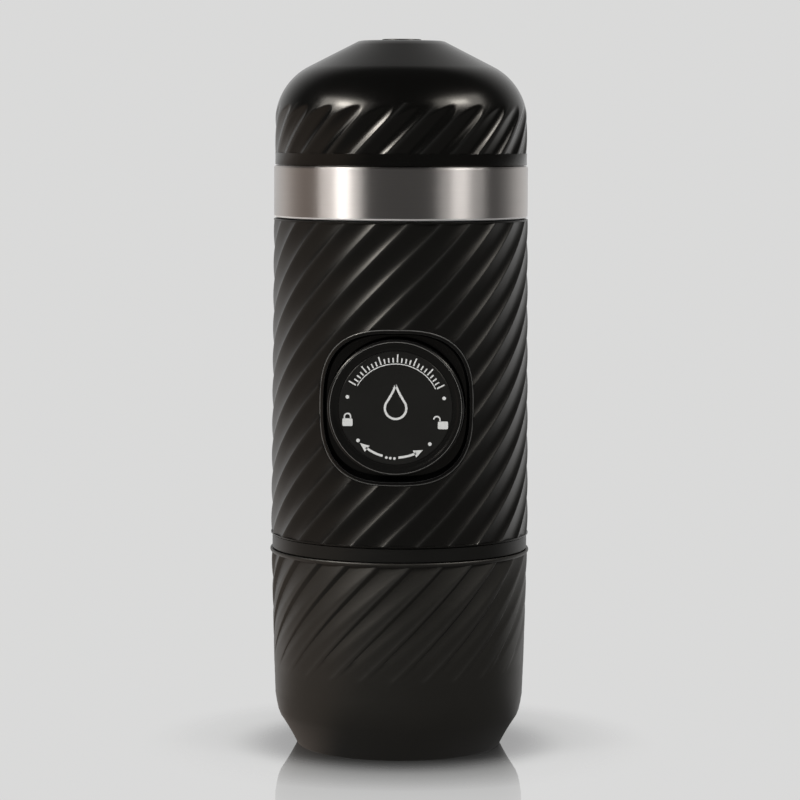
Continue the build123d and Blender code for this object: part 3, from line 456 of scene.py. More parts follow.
class Bench:
    """Makes the nodes of one material or world."""

    def __init__(self, tree: bpy.types.NodeTree) -> None:
        """Empties a node tree to build in it."""
        self.tree = tree
        tree.nodes.clear()

    def node(self, kind: str, values: Optional[Mapping[Union[str, int], Input]] = None,
             out: Union[str, int] = 0, **settings: Any) -> Value:
        """Adds a node.

        Args:
            kind: The node's type.
            values: Numbers, colours or links of its input sockets, by name or place.
            out: The output that is wanted, by name or place.
            settings: Properties of the node, which are set first.

        Returns:
            The wanted output.
        """
        made = self.tree.nodes.new(kind)
        for name, value in settings.items():
            setattr(made, name, value)
        for name, value in (values or {}).items():
            self.feed(made.inputs[name], value)
        return Value(self, made.outputs[out])

    def feed(self, socket: bpy.types.NodeSocket, value: Input) -> None:
        """Sets a socket or links it.

        Args:
            socket: The input socket.
            value: Its number, colour or link.
        """
        if isinstance(value, Value):
            self.tree.links.new(value.socket, socket)
        elif isinstance(value, (int, float)):
            socket.default_value = value
        else:
            size = len(socket.default_value)
            socket.default_value = (tuple(value) + (1.0,))[:size]

    def place(self, stretch: Sequence[float] = (1.0, 1.0, 1.0)) -> Value:
        """Object coordinates in millimetres, divided by a stretch along each axis.

        Args:
            stretch: The stretch.

        Returns:
            The coordinates.
        """
        object_place = self.node("ShaderNodeTexCoord", out="Object")
        scale = [1.0 / (MM * s) for s in stretch]
        return self.node("ShaderNodeMapping", {"Vector": object_place, "Scale": scale})

    def noise(self, size: float, stretch: Sequence[float] = (1.0, 1.0, 1.0), detail: float = 2.0) -> Value:
        """Noise from 0 to 1, with grains of a size in millimetres, stretched along each axis."""
        values = {"Vector": self.place(stretch), "Scale": 1.0 / size, "Detail": detail}
        return self.node("ShaderNodeTexNoise", values, out="Fac")

    def mix(self, share: Input, first: Input, second: Input) -> Value:
        """A colour between two colours."""
        return self.node("ShaderNodeMix", {0: share, 6: first, 7: second}, out=2, data_type="RGBA")

    def fade(self, value: Value, fade: Fade) -> Value:
        """The level that follows a value."""
        values = {0: value, 1: fade.start, 2: fade.end, 3: fade.first, 4: fade.last}
        return self.node("ShaderNodeMapRange", values, interpolation_type=fade.kind)

    def bump(self, height: Value, depth: float) -> Value:
        """A normal bent by a height from 0 to 1, where 1 stands for a depth in millimetres."""
        values = {"Height": height, "Distance": depth * MM, "Strength": 1.0}
        return self.node("ShaderNodeBump", values, out="Normal")

    def surface(self, values: Mapping[Union[str, int], Input]) -> None:
        """Ends a material in a Principled shader with these sockets."""
        shader = self.node("ShaderNodeBsdfPrincipled", values, out="BSDF")
        self.node_end("ShaderNodeOutputMaterial", shader)

    def node_end(self, kind: str, shader: Value) -> None:
        """Adds the output node and links a shader to it."""
        end = self.tree.nodes.new(kind)
        self.tree.links.new(shader.socket, end.inputs["Surface"])


@dataclass(frozen=True)
class Finish:
    """What all finishes share.

    Attributes:
        slot: Its name, which is also the record's slot.
        colour: Base colour.
        SHADES: Factors of the darkest and the lightest shade.
        SPREAD: How much the roughness varies.
        DEPTH: Depth of the fine texture.
    """

    slot: str
    colour: tuple[float, float, float]

    SHADES = (1.0, 1.0)
    SPREAD = 0.1
    DEPTH = 0.001

    def material(self) -> bpy.types.Material:
        """Makes the material, or finds it if it is made already.

        Returns:
            The material.
        """
        name = f"{self.slot}_finish"
        found = bpy.data.materials.get(name)
        if found is not None:
            return found
        made = bpy.data.materials.new(name)
        made.use_nodes = True
        made.diffuse_color = (*self.colour, 1.0)
        self.build(Bench(made.node_tree))
        return made

    def build(self, bench: Bench) -> None:
        """Builds the nodes. Each kind of finish has its own."""
        raise NotImplementedError

    def varied(self, bench: Bench, share: Value) -> Value:
        """The base colour, from the darkest to the lightest shade with a share from 0 to 1."""
        dark, light = ([min(1.0, channel * factor) for channel in self.colour] for factor in self.SHADES)
        return bench.mix(share, dark, light)


@dataclass(frozen=True)
class MouldedPlastic(Finish):
    """Opaque moulded plastic with a fine grain, faint handling marks, and crests and edges lightened: a
    painted highlight, on crests also wear.

    Attributes:
        roughness: Mean roughness.
        grain: Size of the grain.
        depth: Depth of the grain.
        glint_and_wear_share: How far a crest or an edge goes towards a lighter grey, a painted highlight
            that on crests is also wear.
        specular: Specular level, 0.5 for an ordinary plastic.
        glint_and_wear_grey: That grey.
        WARM_GLOSS: Tint of the gloss.
        GLINT_AND_WEAR_TINT: Tint of that lighter grey.
        CREST: Power that keeps the lightening to crests and edges.
        EVEN: Share of the lightening that is even.
        PATCHY: Share that comes in flecks.
        SMUDGE: Size of the handling marks.
        FLECK: Size of the flecks in the colour.
        GRAIN_SPREAD: How much the roughness varies with the grain.
    """

    roughness: float = 0.35
    grain: float = 0.18
    depth: float = 0.0015
    glint_and_wear_share: float = 0.0
    specular: float = 0.5
    glint_and_wear_grey: float = 0.11

    SHADES = (0.8, 1.25)
    SPREAD = 0.08
    WARM_GLOSS = (1.0, 0.94, 0.84)
    GLINT_AND_WEAR_TINT = (1.0, 0.98, 0.93)
    CREST = 6.0
    EVEN = 0.6
    PATCHY = 0.8
    SMUDGE = 9.0
    FLECK = 1.4
    GRAIN_SPREAD = 0.06

    def build(self, bench: Bench) -> None:
        """Builds grain, smudges and the lightened crests and edges, a painted highlight that on crests is
        also wear.

        Args:
            bench: The bench of the material.
        """
        grain = bench.noise(self.grain, detail=3.0)
        smudge = bench.noise(self.SMUDGE, detail=4.0)
        fleck = bench.noise(self.FLECK)
        colour = self.varied(bench, smudge * 0.5 + fleck * 0.5)
        # Crests and edges are painted lighter: a painted highlight, on crests also wear
        if self.glint_and_wear_share:
            rub = bench.node("ShaderNodeAttribute", out="Fac", attribute_name="rub")
            share = rub ** self.CREST * (fleck * self.PATCHY + self.EVEN) * self.glint_and_wear_share
            colour = bench.mix(share, colour, [self.glint_and_wear_grey * tint for tint in self.GLINT_AND_WEAR_TINT])
        uneven = (smudge - 0.5) * self.SPREAD + (grain - 0.5) * self.GRAIN_SPREAD
        bench.surface({
            "Base Color": colour,
            "Roughness": uneven + self.roughness,
            "Specular IOR Level": self.specular,
            "Specular Tint": self.WARM_GLOSS,
            "Normal": bench.bump(grain, self.depth),
        })


@dataclass(frozen=True)
class BrushedMetal(Finish):
    """Metal brushed round the axis, with fine streaks.

    Attributes:
        roughness: Mean roughness.
        anisotropy: How much the streaks spread the light.
        rotation: Turn of the streaks from the ring round Z, as a share of a turn.
        streak: Length of a streak over its width.
        depth: Depth of the streaks.
        HIGHLIGHT_COLOUR: Colour of the painted highlight on a marked edge.
        EDGE: Power that keeps the painted highlight to the marked edges.
        HIGHLIGHT_DIFFUSE: How much less metallic the edge with the painted highlight is.
        FINE: Width of the fine streaks.
        BROAD: Width of the broad streaks.
        FINE_SHARE: Share of the fine streaks in the colour.
        TOUCHED: Size of the marks that hands leave.
        TOUCH_SPREAD: How much the roughness varies with them.
    """

    roughness: float = 0.3
    anisotropy: float = 0.6
    rotation: float = 0.25
    streak: float = 60.0
    depth: float = 0.0006

    SHADES = (0.93, 1.05)
    HIGHLIGHT_COLOUR = (0.97, 0.96, 0.94)
    EDGE = 2.0
    HIGHLIGHT_DIFFUSE = 0.85
    FINE = 0.05
    BROAD = 0.4
    FINE_SHARE = 0.6
    TOUCHED = 11.0
    TOUCH_SPREAD = 0.05

    def build(self, bench: Bench) -> None:
        """Builds streaks in roughness, colour and height.

        Args:
            bench: The bench of the material.
        """
        along = (self.streak, self.streak, 1.0)
        fine = bench.noise(self.FINE, along)
        broad = bench.noise(self.BROAD, along, detail=1.0)
        hands = bench.noise(self.TOUCHED, detail=3.0)
        # The marked bevel is painted near white and made less metallic: a painted highlight line
        painted_highlight = bench.node("ShaderNodeAttribute", out="Fac", attribute_name="rub") ** self.EDGE
        brushed = self.varied(bench, fine * self.FINE_SHARE + broad * (1.0 - self.FINE_SHARE))
        uneven = (fine - 0.5) * self.SPREAD + (hands - 0.5) * self.TOUCH_SPREAD
        bench.surface({
            "Base Color": bench.mix(painted_highlight, brushed, self.HIGHLIGHT_COLOUR),
            "Metallic": 1.0 - painted_highlight * self.HIGHLIGHT_DIFFUSE,
            "Roughness": uneven + self.roughness,
            "Anisotropic": self.anisotropy,
            "Anisotropic Rotation": self.rotation,
            "Normal": bench.bump(fine, self.depth),
        })


@dataclass(frozen=True)
class PatchyFinish(Finish):
    """A surface whose colour and roughness vary in patches, under a fine texture.

    Attributes:
        roughness: Mean roughness.
        PATCH: Size of the patches.
        LAYERS: Number of finer layers in them.
        GRAIN: Size of the texture.
    """

    roughness: float = 0.3

    PATCH = 3.0
    LAYERS = 2.0
    GRAIN = 0.3

    def build(self, bench: Bench) -> None:
        """Builds the patches and the texture.

        Args:
            bench: The bench of the material.
        """
        patch = bench.noise(self.PATCH, detail=self.LAYERS)
        bench.surface({
            "Base Color": self.varied(bench, patch),
            "Roughness": (patch - 0.5) * self.SPREAD + self.roughness,
            "Normal": bench.bump(bench.noise(self.GRAIN), self.DEPTH),
            **self.levels(),
        })

    def levels(self) -> dict[str, float]:
        """Further levels of the shader, where a kind of finish has some."""
        return {}


@dataclass(frozen=True)
class PlainMetal(PatchyFinish):
    """Turned, drawn or plated metal without a direction, with faint stains."""

    roughness: float = 0.22

    SHADES = (0.88, 1.06)
    SPREAD = 0.12
    LAYERS = 4.0

    def levels(self) -> dict[str, float]:
        """Metal throughout."""
        return {"Metallic": 1.0}


@dataclass(frozen=True)
class SoftRubber(PatchyFinish):
    """Matt silicone rubber with a dusty bloom."""

    roughness: float = 0.55

    SHADES = (0.85, 1.2)
    DEPTH = 0.004
    PATCH = 4.0
    LAYERS = 4.0
    GRAIN = 0.25

    def levels(self) -> dict[str, float]:
        """A low gloss."""
        return {"Specular IOR Level": 0.4}


@dataclass(frozen=True)
class ClearPlastic(PatchyFinish):
    """See-through moulded plastic or silicone with a slightly wavy surface.

    Attributes:
        clear: Share of light that passes.
    """

    clear: float = 0.8

    SHADES = (0.9, 1.1)
    SPREAD = 0.08
    DEPTH = 0.02
    PATCH = 14.0
    GRAIN = 14.0

    def levels(self) -> dict[str, float]:
        """The light that passes and how it bends."""
        return {"Transmission Weight": self.clear, "IOR": 1.49}


@dataclass(frozen=True)
class PrintedMark(PatchyFinish):
    """Light grey pad-printed ink of slightly uneven cover."""

    roughness: float = 0.5

    SHADES = (0.86, 1.1)
    PATCH = 0.35
    GRAIN = 0.35


# The share and grey that lighten crests and edges paint a highlight there, on crests also wear
FINISHES: tuple[Finish, ...] = (
    MouldedPlastic("cup_black", (0.0068, 0.0064, 0.0056), roughness=0.44, grain=0.22, depth=0.0035,
                   glint_and_wear_share=0.10, specular=0.75),
    ClearPlastic("tank_smoke", (0.42, 0.43, 0.45), roughness=0.09, clear=0.96),
    MouldedPlastic("body_black", (0.0030, 0.0029, 0.0027), roughness=0.33, grain=0.16, depth=0.0020,
                   glint_and_wear_share=0.15, specular=0.42),
    MouldedPlastic("ring_black", (0.0050, 0.0050, 0.0047), roughness=0.40, specular=0.4),
    MouldedPlastic("dome_black", (0.0014, 0.0014, 0.0013), roughness=0.21, depth=0.0005, glint_and_wear_share=0.12),
    MouldedPlastic("tip_black", (0.0050, 0.0050, 0.0048), roughness=0.30),
    BrushedMetal("band_steel", (0.66, 0.62, 0.59), roughness=0.40, anisotropy=1.0),
    MouldedPlastic("well_black", (0.0025, 0.0025, 0.0025), roughness=0.16, depth=0.0004, glint_and_wear_share=0.9,
                   glint_and_wear_grey=0.16),
    MouldedPlastic("knob_black", (0.0035, 0.0035, 0.0034), roughness=0.20, depth=0.0004, glint_and_wear_share=1.0,
                   glint_and_wear_grey=0.24),
    MouldedPlastic("face_black", (0.0085, 0.0085, 0.0081), roughness=0.30, depth=0.0008),
    MouldedPlastic("inner_grey", (0.22, 0.225, 0.23), roughness=0.42, depth=0.003),
    BrushedMetal("barrel_steel", (0.55, 0.55, 0.56), roughness=0.24, anisotropy=0.3),
    PlainMetal("fitting_brass", (0.70, 0.52, 0.25)),
    PlainMetal("basket_steel", (0.66, 0.66, 0.66), roughness=0.20),
    PlainMetal("spring_steel", (0.60, 0.60, 0.60), roughness=0.24),
    PlainMetal("ball_steel", (0.75, 0.75, 0.75), roughness=0.10),
    PlainMetal("screw_steel", (0.52, 0.52, 0.50), roughness=0.30),
    SoftRubber("seal_rubber", (0.38, 0.085, 0.055)),
    ClearPlastic("hose_clear", (0.80, 0.81, 0.81), roughness=0.34, clear=0.55),
)
FINISH_OF: dict[str, Finish] = {finish.slot: finish for finish in FINISHES}
MARK_INK = PrintedMark("mark_ink", (0.66, 0.66, 0.64))
OUTER_RUBBER = SoftRubber("outer_rubber", (0.012, 0.012, 0.012))


def linked(name: str, data: Any) -> bpy.types.Object:
    """Makes an object of a mesh, a light or a camera and links it to the scene.

    Args:
        name: Name of the object.
        data: The mesh, light or camera.

    Returns:
        The new object.
    """
    made = bpy.data.objects.new(name, data)
    bpy.context.scene.collection.objects.link(made)
    return made


def filled(name: str, mesh: BMesh) -> bpy.types.Object:
    """Makes an object of a mesh that is still being edited, and frees that.

    Args:
        name: Name of the object.
        mesh: Its mesh in metres, in the object's own place.

    Returns:
        The new object.
    """
    data = bpy.data.meshes.new(name)
    mesh.to_mesh(data)
    mesh.free()
    return linked(name, data)


def mounted(name: str, mesh: BMesh, body: Optional[Body], slot: str, replaced: Sequence[str] = (),
            finish: Optional[Finish] = None) -> bpy.types.Object:
    """Makes a piece from a mesh, dresses it and lets it ride on its body.

    Args:
        name: Name of the piece.
        mesh: Its mesh in metres, in the object's own place, which is freed.
        body: The body that it moves with, or None for a piece that is then stretched between two.
        slot: Material slot in the record.
        replaced: CAD nodes that it stands for.
        finish: Its finish, where that isn't the slot's own.

    Returns:
        The new object.
    """
    piece = filled(name, mesh)
    data = piece.data
    data.shade_smooth()
    data.set_sharp_from_angle(angle=SMOOTH_UNDER)
    data.materials.append((finish or FINISH_OF[slot]).material())
    if body is not None:
        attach(piece, body.value)
    if replaced:
        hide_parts(*replaced)
    log.info("%s: %d faces", name, len(data.polygons))
    return piece


def carved(piece: bpy.types.Object, cutter: BMesh) -> None:
    """Cuts one closed mesh out of a piece for good.

    Args:
        piece: The piece to cut.
        cutter: Closed mesh in metres, which is freed.
    """
    tool = filled("cutter", cutter)
    cut = piece.modifiers.new("cut", "BOOLEAN")
    cut.operation = "DIFFERENCE"
    cut.solver = "EXACT"
    cut.object = tool
    depsgraph = bpy.context.evaluated_depsgraph_get()
    result = bpy.data.meshes.new_from_object(piece.evaluated_get(depsgraph))
    piece.modifiers.remove(cut)
    bpy.data.meshes.remove(tool.data)
    piece.data = result
    result.set_sharp_from_angle(angle=SMOOTH_UNDER)


def on_pump_axis(mesh: BMesh, centre: float) -> BMesh:
    """Lays a mesh made about Z along the pump axis, so that its height becomes Y.

    Args:
        mesh: The mesh, which is changed.
        centre: Height of the pump axis.

    Returns:
        The same mesh.
    """
    lay = moved_by(0.0, 0.0, centre) @ turned_by(-90.0, "X")
    bmesh.ops.transform(mesh, matrix=lay, verts=mesh.verts[:])
    return mesh


@dataclass
class DrinkingCup:
    """The ridged cup that the maker stands on: flared lip, ledge, chamfered foot."""

    foot_radius: float = 25.9
    foot_edge: Rows = ((0.25, 0.0, 0.0), (0.0, 0.2, 0.0))
    foot_width: float = 3.5
    recess: float = 0.8
    chamfer_radius: float = 30.2
    chamfer_height: float = 7.6
    chamfer_blend: Rows = ((0.0, 0.0, 0.0), (-0.55, 1.4, 0.0))
    low_radius: float = 31.5
    low_height: float = 13.0
    low_blend: Rows = ((0.35, -2.2, 0.0), (0.0, 0.0, 0.0))
    waist_radius: float = 31.8
    lip_radius: float = 32.55
    rim_radius: float = 32.85
    # The rim's top edge carries a glint painted into its colour
    rim: Rows = ((0.06, -0.66, 0.0), (0.0, -0.45, 0.0), (0.02, -0.18, 0.95), (0.12, 0.0, 0.0),
                 (0.40, 0.0, 0.0))
    wall: float = 2.4
    mouth_radius: float = 31.05
    ledge_drop: float = 4.3
    land: float = 8.0
    floor: float = 3.2
    ridge_low: float = 21.0
    ridge_drop: float = 1.0
    ridge_step: float = 0.04
    root_low: float = 31.80
    root_high: float = 31.62
    outside: float = 31.0
    row: float = 1.2
    plain_row: float = 3.0
    mouth_row: float = 2.0
    inner_row: float = 4.0

    def build(self) -> None:
        """Turns the section, presses the ridges in and replaces the CAD cup."""
        top = Extent.of("drinking_cup").high.z
        high = top - self.ridge_drop
        ledge = top - self.ledge_drop
        ridges = Ridges(start=5.3, low=self.ridge_low, high=high + self.ridge_step / 2,
                        root_low=self.root_low, root_high=self.root_high, rise=0.96, flank=0.81,
                        fall_curve=1.0, rise_curve=1.5)
        pen = Pen(0.0, self.recess)
        pen.line(self.foot_radius - self.foot_width - self.recess, self.recess)
        pen.line(self.foot_radius - self.foot_width, 0.0)
        pen.edge(self.foot_radius, 0.0, self.foot_edge)
        pen.edge(self.chamfer_radius, self.chamfer_height, self.chamfer_blend)
        pen.edge(self.low_radius, self.low_height, self.low_blend)
        pen.line(self.waist_radius, self.ridge_low, self.plain_row)
        pen.line(self.lip_radius, high, self.row)
        pen.line(self.lip_radius + self.ridge_step / 2, high + self.ridge_step)
        pen.edge(self.rim_radius, top, self.rim)
        pen.line(self.mouth_radius, top)
        pen.line(self.mouth_radius, ledge, self.mouth_row)
        pen.line(self.lip_radius - self.wall, ledge)
        pen.line(self.lip_radius - self.wall, ledge - self.land, self.inner_row)
        pen.line(self.low_radius - self.wall, self.low_height, self.inner_row)
        pen.line(self.foot_radius - self.wall / 2, self.floor, self.inner_row)
        pen.line(0.0, self.floor)
        mesh = ridges.turned(pen, self.outside, closed=False)
        mounted("cup_shell", mesh, Body.CUP, "cup_black", ["drinking_cup"])


@dataclass
class PumpBody:
    """The long ridged sleeve with the rounded square window."""

    low_radius: float = 32.66
    high_radius: float = 32.06
    rim: float = 0.4
    edge: float = 0.14
    step: float = 0.05
    depth: float = 0.55
    outside: float = 31.0
    bore_gap: float = 0.3
    row: float = 1.5
    inner_row: float = 4.0
    window_gap: float = 0.06

    def build(self, well: "KnobWell") -> None:
        """Turns the sleeve, presses the ridges in and cuts the window.

        Args:
            well: The well that stands in the window.
        """
        space = Extent.of("body_shell")
        low, high = space.low.z, space.high.z
        bore = Extent.of("chassis").radius + self.bore_gap
        ridges = Ridges(start=13.7, low=low + self.rim + self.step / 2, high=high - self.rim - self.step / 2,
                        root_low=self.low_radius - self.depth, root_high=self.high_radius - self.depth)
        pen = Pen(bore, low)
        pen.line(self.low_radius - self.edge, low)
        pen.line(self.low_radius, low + self.edge)
        pen.line(self.low_radius, low + self.rim)
        pen.line(self.low_radius, low + self.rim + self.step)
        pen.line(self.high_radius, high - self.rim - self.step, self.row)
        pen.line(self.high_radius, high - self.rim)
        pen.line(self.high_radius, high - self.edge)
        pen.line(self.high_radius - self.edge, high)
        pen.line(bore, high)
        pen.line(bore, low + self.inner_row, self.inner_row)
        mesh = ridges.turned(pen, self.outside)
        shell = mounted("body_sleeve", mesh, Body.PUMP_BODY, "body_black", ["body_shell"])
        carved(shell, well.plug(self.window_gap))


@dataclass(frozen=True)
class Loop:
    """The place of one loop of the well's skin.

    Attributes:
        inset: Distance of a rounded square inside the outer outline.
        depth: Place along Y, or None where the loop follows the body's round front.
        sunk: How far it lies behind that front.
        glint: How bright a glint is painted into the loop's colour, as an edge.
        radius: Radius of a round loop, or None for a rounded square one.
    """

    inset: float = 0.0
    depth: Optional[float] = None
    sunk: float = 0.0
    glint: float = 0.0
    radius: Optional[float] = None


@dataclass
class KnobWell:
    """The gloss well round the knob: a rounded square lip that follows the body, a floor and a tube.

    Attributes:
        power: Power of the rounded square's outline.
        knee: Share of a rounding where its middle point lies.
        corner: Depth of the small slope at the foot of the wall, then its width.
        plug_front: Place along Y where the block that cuts the window begins.
    """

    width: float = 38.0
    height: float = 38.4
    power: float = 2.8
    front_radius: float = 32.15
    lip: float = 1.0
    lip_round: float = 0.25
    knee: float = 0.3
    floor: float = -24.3
    flange: float = 2.0
    wall_step: float = 0.3
    corner: tuple[float, float] = (0.5, 0.4)
    bore: float = 17.0
    tube_wall: float = 1.7
    plug_front: float = -40.0
    plug_length: float = 36.0
    points: int = 160

    @property
    def centre(self) -> float:
        """Height of the pump axis."""
        return Extent.of("knob_face").middle.z

    def outline(self, turn: float, inset: float) -> tuple[float, float]:
        """A point of the rounded square.

        Args:
            turn: Angle of the point, in radians.
            inset: Distance inside the outer outline.

        Returns:
            Its place across and up from the pump axis.
        """
        power = 2.0 / self.power
        across = math.copysign(abs(math.cos(turn)) ** power, math.cos(turn)) * (self.width / 2 - inset)
        up = math.copysign(abs(math.sin(turn)) ** power, math.sin(turn)) * (self.height / 2 - inset)
        return across, up

    def ring(self, mesh: BMesh, verts: Sequence[BMVert], loop: Loop) -> None:
        """Places one loop of vertices.

        Args:
            mesh: The mesh that holds the loop.
            verts: Its vertices, in order.
            loop: Where they go.
        """
        rub = mesh.verts.layers.float["rub"]
        for k, vert in enumerate(verts):
            # A painted glint on the lip's edges
            vert[rub] = loop.glint
            turn = math.tau * k / self.points
            if loop.radius is None:
                across, up = self.outline(turn, loop.inset)
            else:
                across, up = loop.radius * math.cos(turn), loop.radius * math.sin(turn)
            along = loop.depth
            if along is None:
                along = loop.sunk - math.sqrt(self.front_radius ** 2 - across ** 2)
            vert.co = Vector((across, along, self.centre + up)) * MM

    def stack(self, loops: Sequence[Loop]) -> BMesh:
        """Builds a closed skin from loops that follow each other.

        Args:
            loops: The places of the loops.

        Returns:
            The mesh, joined from the last loop to the first.
        """
        mesh = bmesh.new()
        mesh.verts.layers.float.new("rub")
        made = bmesh.ops.create_circle(mesh, segments=self.points, radius=MM)
        verts = first = made["verts"]
        for number, loop in enumerate(loops):
            if number:
                edges = [mesh.edges.get((verts[k - 1], verts[k])) for k in range(self.points)]
                fresh = set(verts_of(bmesh.ops.extrude_edge_only(mesh, edges=edges)))
                verts = [next(edge.other_vert(vert) for edge in vert.link_edges
                              if edge.other_vert(vert) in fresh) for vert in verts]
            self.ring(mesh, verts, loop)
        edges = [mesh.edges.get((ends[k - 1], ends[k])) for ends in (first, verts)
                 for k in range(self.points)]
        bmesh.ops.bridge_loops(mesh, edges=edges)
        return outward(mesh)

    def plug(self, gap: float) -> BMesh:
        """The block that the sleeve's window is cut with.

        Args:
            gap: Free space round the well.

        Returns:
            A closed mesh.
        """
        mesh = bmesh.new()
        mesh.verts.layers.float.new("rub")
        made = bmesh.ops.create_circle(mesh, segments=self.points, radius=MM, cap_ends=True)
        self.ring(mesh, made["verts"], Loop(-gap, self.plug_front))
        return thickened(mesh, (0.0, self.plug_length, 0.0))

    def build(self) -> None:
        """Builds the well and replaces the CAD one."""
        back = Extent.of("button_well").high.y
        edge = self.lip_round
        knee = edge * self.knee
        wall = self.lip + self.wall_step
        flange = self.floor + self.flange
        tube = self.bore + self.tube_wall
        loops = [
            Loop(depth=flange),
            Loop(sunk=edge),
            # These three loops carry painted glints on the lip's edges
            Loop(knee, sunk=knee, glint=0.95),
            Loop(edge, glint=0.92),
            Loop(edge * 1.5),
            Loop(self.lip - edge),
            Loop(self.lip - knee, sunk=knee, glint=0.82),
            Loop(self.lip, sunk=edge),
            Loop(wall, self.floor - self.corner[0]),
            Loop(wall + self.corner[1], self.floor),
            Loop(depth=self.floor, radius=self.bore),
            Loop(depth=back, radius=self.bore),
            Loop(depth=back, radius=tube),
            Loop(depth=flange, radius=tube),
        ]
        mounted("knob_well", self.stack(loops), Body.PUMP_BODY, "well_black", ["button_well"])


@dataclass
class KnobMarks:
    """Thin printed marks on the knob's face: padlocks, a scale of ticks, a turning arrow and a drop.

    What ends in _in or _out is a distance inside or outside the marks' radius.
    """

    radius: float = 12.1
    thick: float = 0.03
    stroke: float = 0.34
    degrees_a_piece: float = 6.0
    case_tall: float = 1.9
    case_wide: float = 2.5
    case_round: float = 0.35
    case_in: float = 0.55
    hoop_radius: float = 0.75
    hoop_out: float = 0.85
    open_aside: float = 1.5
    leg_length: float = 0.55
    leg_out: float = 0.6
    arrow_line: float = 0.55
    head_turn: float = 8.5
    head_free: float = 0.7
    head_radius: float = 1.4
    head_wide: float = 0.78
    head_long: float = 1.1
    gap_dot: float = 0.33
    gap_dot_out: float = 0.2
    long_tick: float = 2.0
    short_tick: float = 1.15
    tick_in: float = 0.9
    scale_line: float = 0.22
    scale_in: float = 1.25
    drop_point: float = 1.1
    drop_slim: float = 0.55
    drop_power: int = 6
    mesh: BMesh = field(default_factory=bmesh.new)

    def at(self, turn: float, radius: float, spin: float = 0.0) -> Matrix:
        """A place at an angle from the right, turned about itself. Unturned, its own X points outwards."""
        return turned_by(turn) @ moved_by(radius, 0.0, 0.0) @ turned_by(spin)

    def bar(self, place: Matrix, length: float, width: float, rounding: float = 0.0) -> None:
        """A flat bar whose length lies along its own X.

        Args:
            place: Its middle.
            length: Its length.
            width: Its width.
            rounding: Radius of its corners.
        """
        size = Matrix.Diagonal((length * MM, width * MM, 1.0, 1.0))
        made = bmesh.ops.create_grid(self.mesh, x_segments=1, y_segments=1, size=0.5, matrix=place @ size)
        if rounding:
            bmesh.ops.bevel(self.mesh, geom=made["verts"], offset=rounding * MM, offset_type="OFFSET",
                            segments=4, profile=0.5, affect="VERTICES", material=-1)

    def arc(self, place: Matrix, radius: float, width: float, start: float, end: float) -> None:
        """A flat arc about a place, from one angle to another.

        Args:
            place: Its centre.
            radius: Radius of its middle line.
            width: Width of its line.
            start: Angle where it begins, in degrees.
            end: Angle where it ends.
        """
        begin = place @ turned_by(start)
        ends = [self.mesh.verts.new(begin @ Vector((r * MM, 0.0, 0.0)))
                for r in (radius - width / 2, radius + width / 2)]
        edge = self.mesh.edges.new(ends)
        steps = max(2, round(abs(end - start) / self.degrees_a_piece))
        swept(self.mesh, [*ends, edge], end - start, steps, place.translation)

    def dot(self, place: Matrix, radius: float, sides: int = 20) -> list[BMVert]:
        """A flat round or, with three sides, pointed mark.

        Args:
            place: Its middle.
            radius: Its radius.
            sides: Number of its sides.

        Returns:
            Its vertices.
        """
        made = bmesh.ops.create_circle(self.mesh, cap_ends=True, segments=sides, radius=radius * MM,
                                       matrix=place)
        return made["verts"]

    def padlock(self, turn: float, lock: Lock) -> None:
        """A padlock whose top points away from the centre line of the face.

        Args:
            turn: Its angle on the face, in degrees.
            lock: Closed or open.
        """
        place = self.at(turn, self.radius, 90.0 - turn)
        closed = lock is Lock.CLOSED
        side = 0.0 if closed else self.open_aside
        case = place @ moved_by(-self.case_in, 0.0, 0.0)
        self.bar(case, self.case_tall, self.case_wide, self.case_round)
        hoop = place @ moved_by(self.hoop_out, side, 0.0)
        self.arc(hoop, self.hoop_radius, self.stroke, -90.0, 90.0)
        for leg in (-self.hoop_radius, self.hoop_radius) if closed else (-self.hoop_radius,):
            self.bar(place @ moved_by(self.leg_out, side + leg, 0.0), self.leg_length, self.stroke)

    def arrow(self, start: float, end: float, gap_from: float, gap_to: float) -> None:
        """The double-headed arrow that shows the turn, with three dots in its gap.

        Args:
            start: Angle of its left tip, in degrees.
            end: Angle of its right tip.
            gap_from: Angle where the gap begins.
            gap_to: Angle where it ends.
        """
        free = self.head_turn * self.head_free
        half = self.head_turn / 2
        self.arc(Matrix.Identity(4), self.radius, self.arrow_line, start + free, gap_from)
        self.arc(Matrix.Identity(4), self.radius, self.arrow_line, gap_to, end - free)
        shape = Matrix.Diagonal((self.head_wide, self.head_long, 1.0, 1.0))
        for tip, way in ((start + half, 180.0), (end - half, 0.0)):
            self.dot(self.at(tip, self.radius, way) @ shape, self.head_radius, sides=3)
        for k in range(3):
            angle = gap_from + (gap_to - gap_from) * (k + 1) / 4
            self.dot(self.at(angle, self.radius + self.gap_dot_out), self.gap_dot)

    def scale(self, start: float, end: float, count: int) -> None:
        """An arc of ticks, every fourth one longer, over a thin line.

        Args:
            start: Angle of the first tick, in degrees.
            end: Angle of the last.
            count: Number of ticks.
        """
        for k in range(count):
            angle = start + (end - start) * k / (count - 1)
            length = self.short_tick if k % 4 else self.long_tick
            self.bar(self.at(angle, self.radius - self.tick_in + length / 2), length, self.stroke)
        self.arc(Matrix.Identity(4), self.radius - self.scale_in, self.scale_line, start, end)

    def drop(self, radius: float, line: float) -> None:
        """The outline of a drop with its point up, in the middle.

        Args:
            radius: Radius of its round part.
            line: Width of its line.
        """
        verts = self.dot(Matrix.Identity(4), radius, sides=40)
        for vert in verts:
            turn = math.atan2(vert.co.x, vert.co.y)
            pull = max(0.0, math.cos(turn)) ** self.drop_power
            vert.co.y += pull * radius * self.drop_point * MM
            vert.co.x *= 1.0 - self.drop_slim * pull
        inside = verts[0].link_faces[0]
        bmesh.ops.inset_region(self.mesh, faces=[inside], thickness=line * MM, use_boundary=True,
                               use_even_offset=True)
        bmesh.ops.delete(self.mesh, geom=[inside], context="FACES_ONLY")

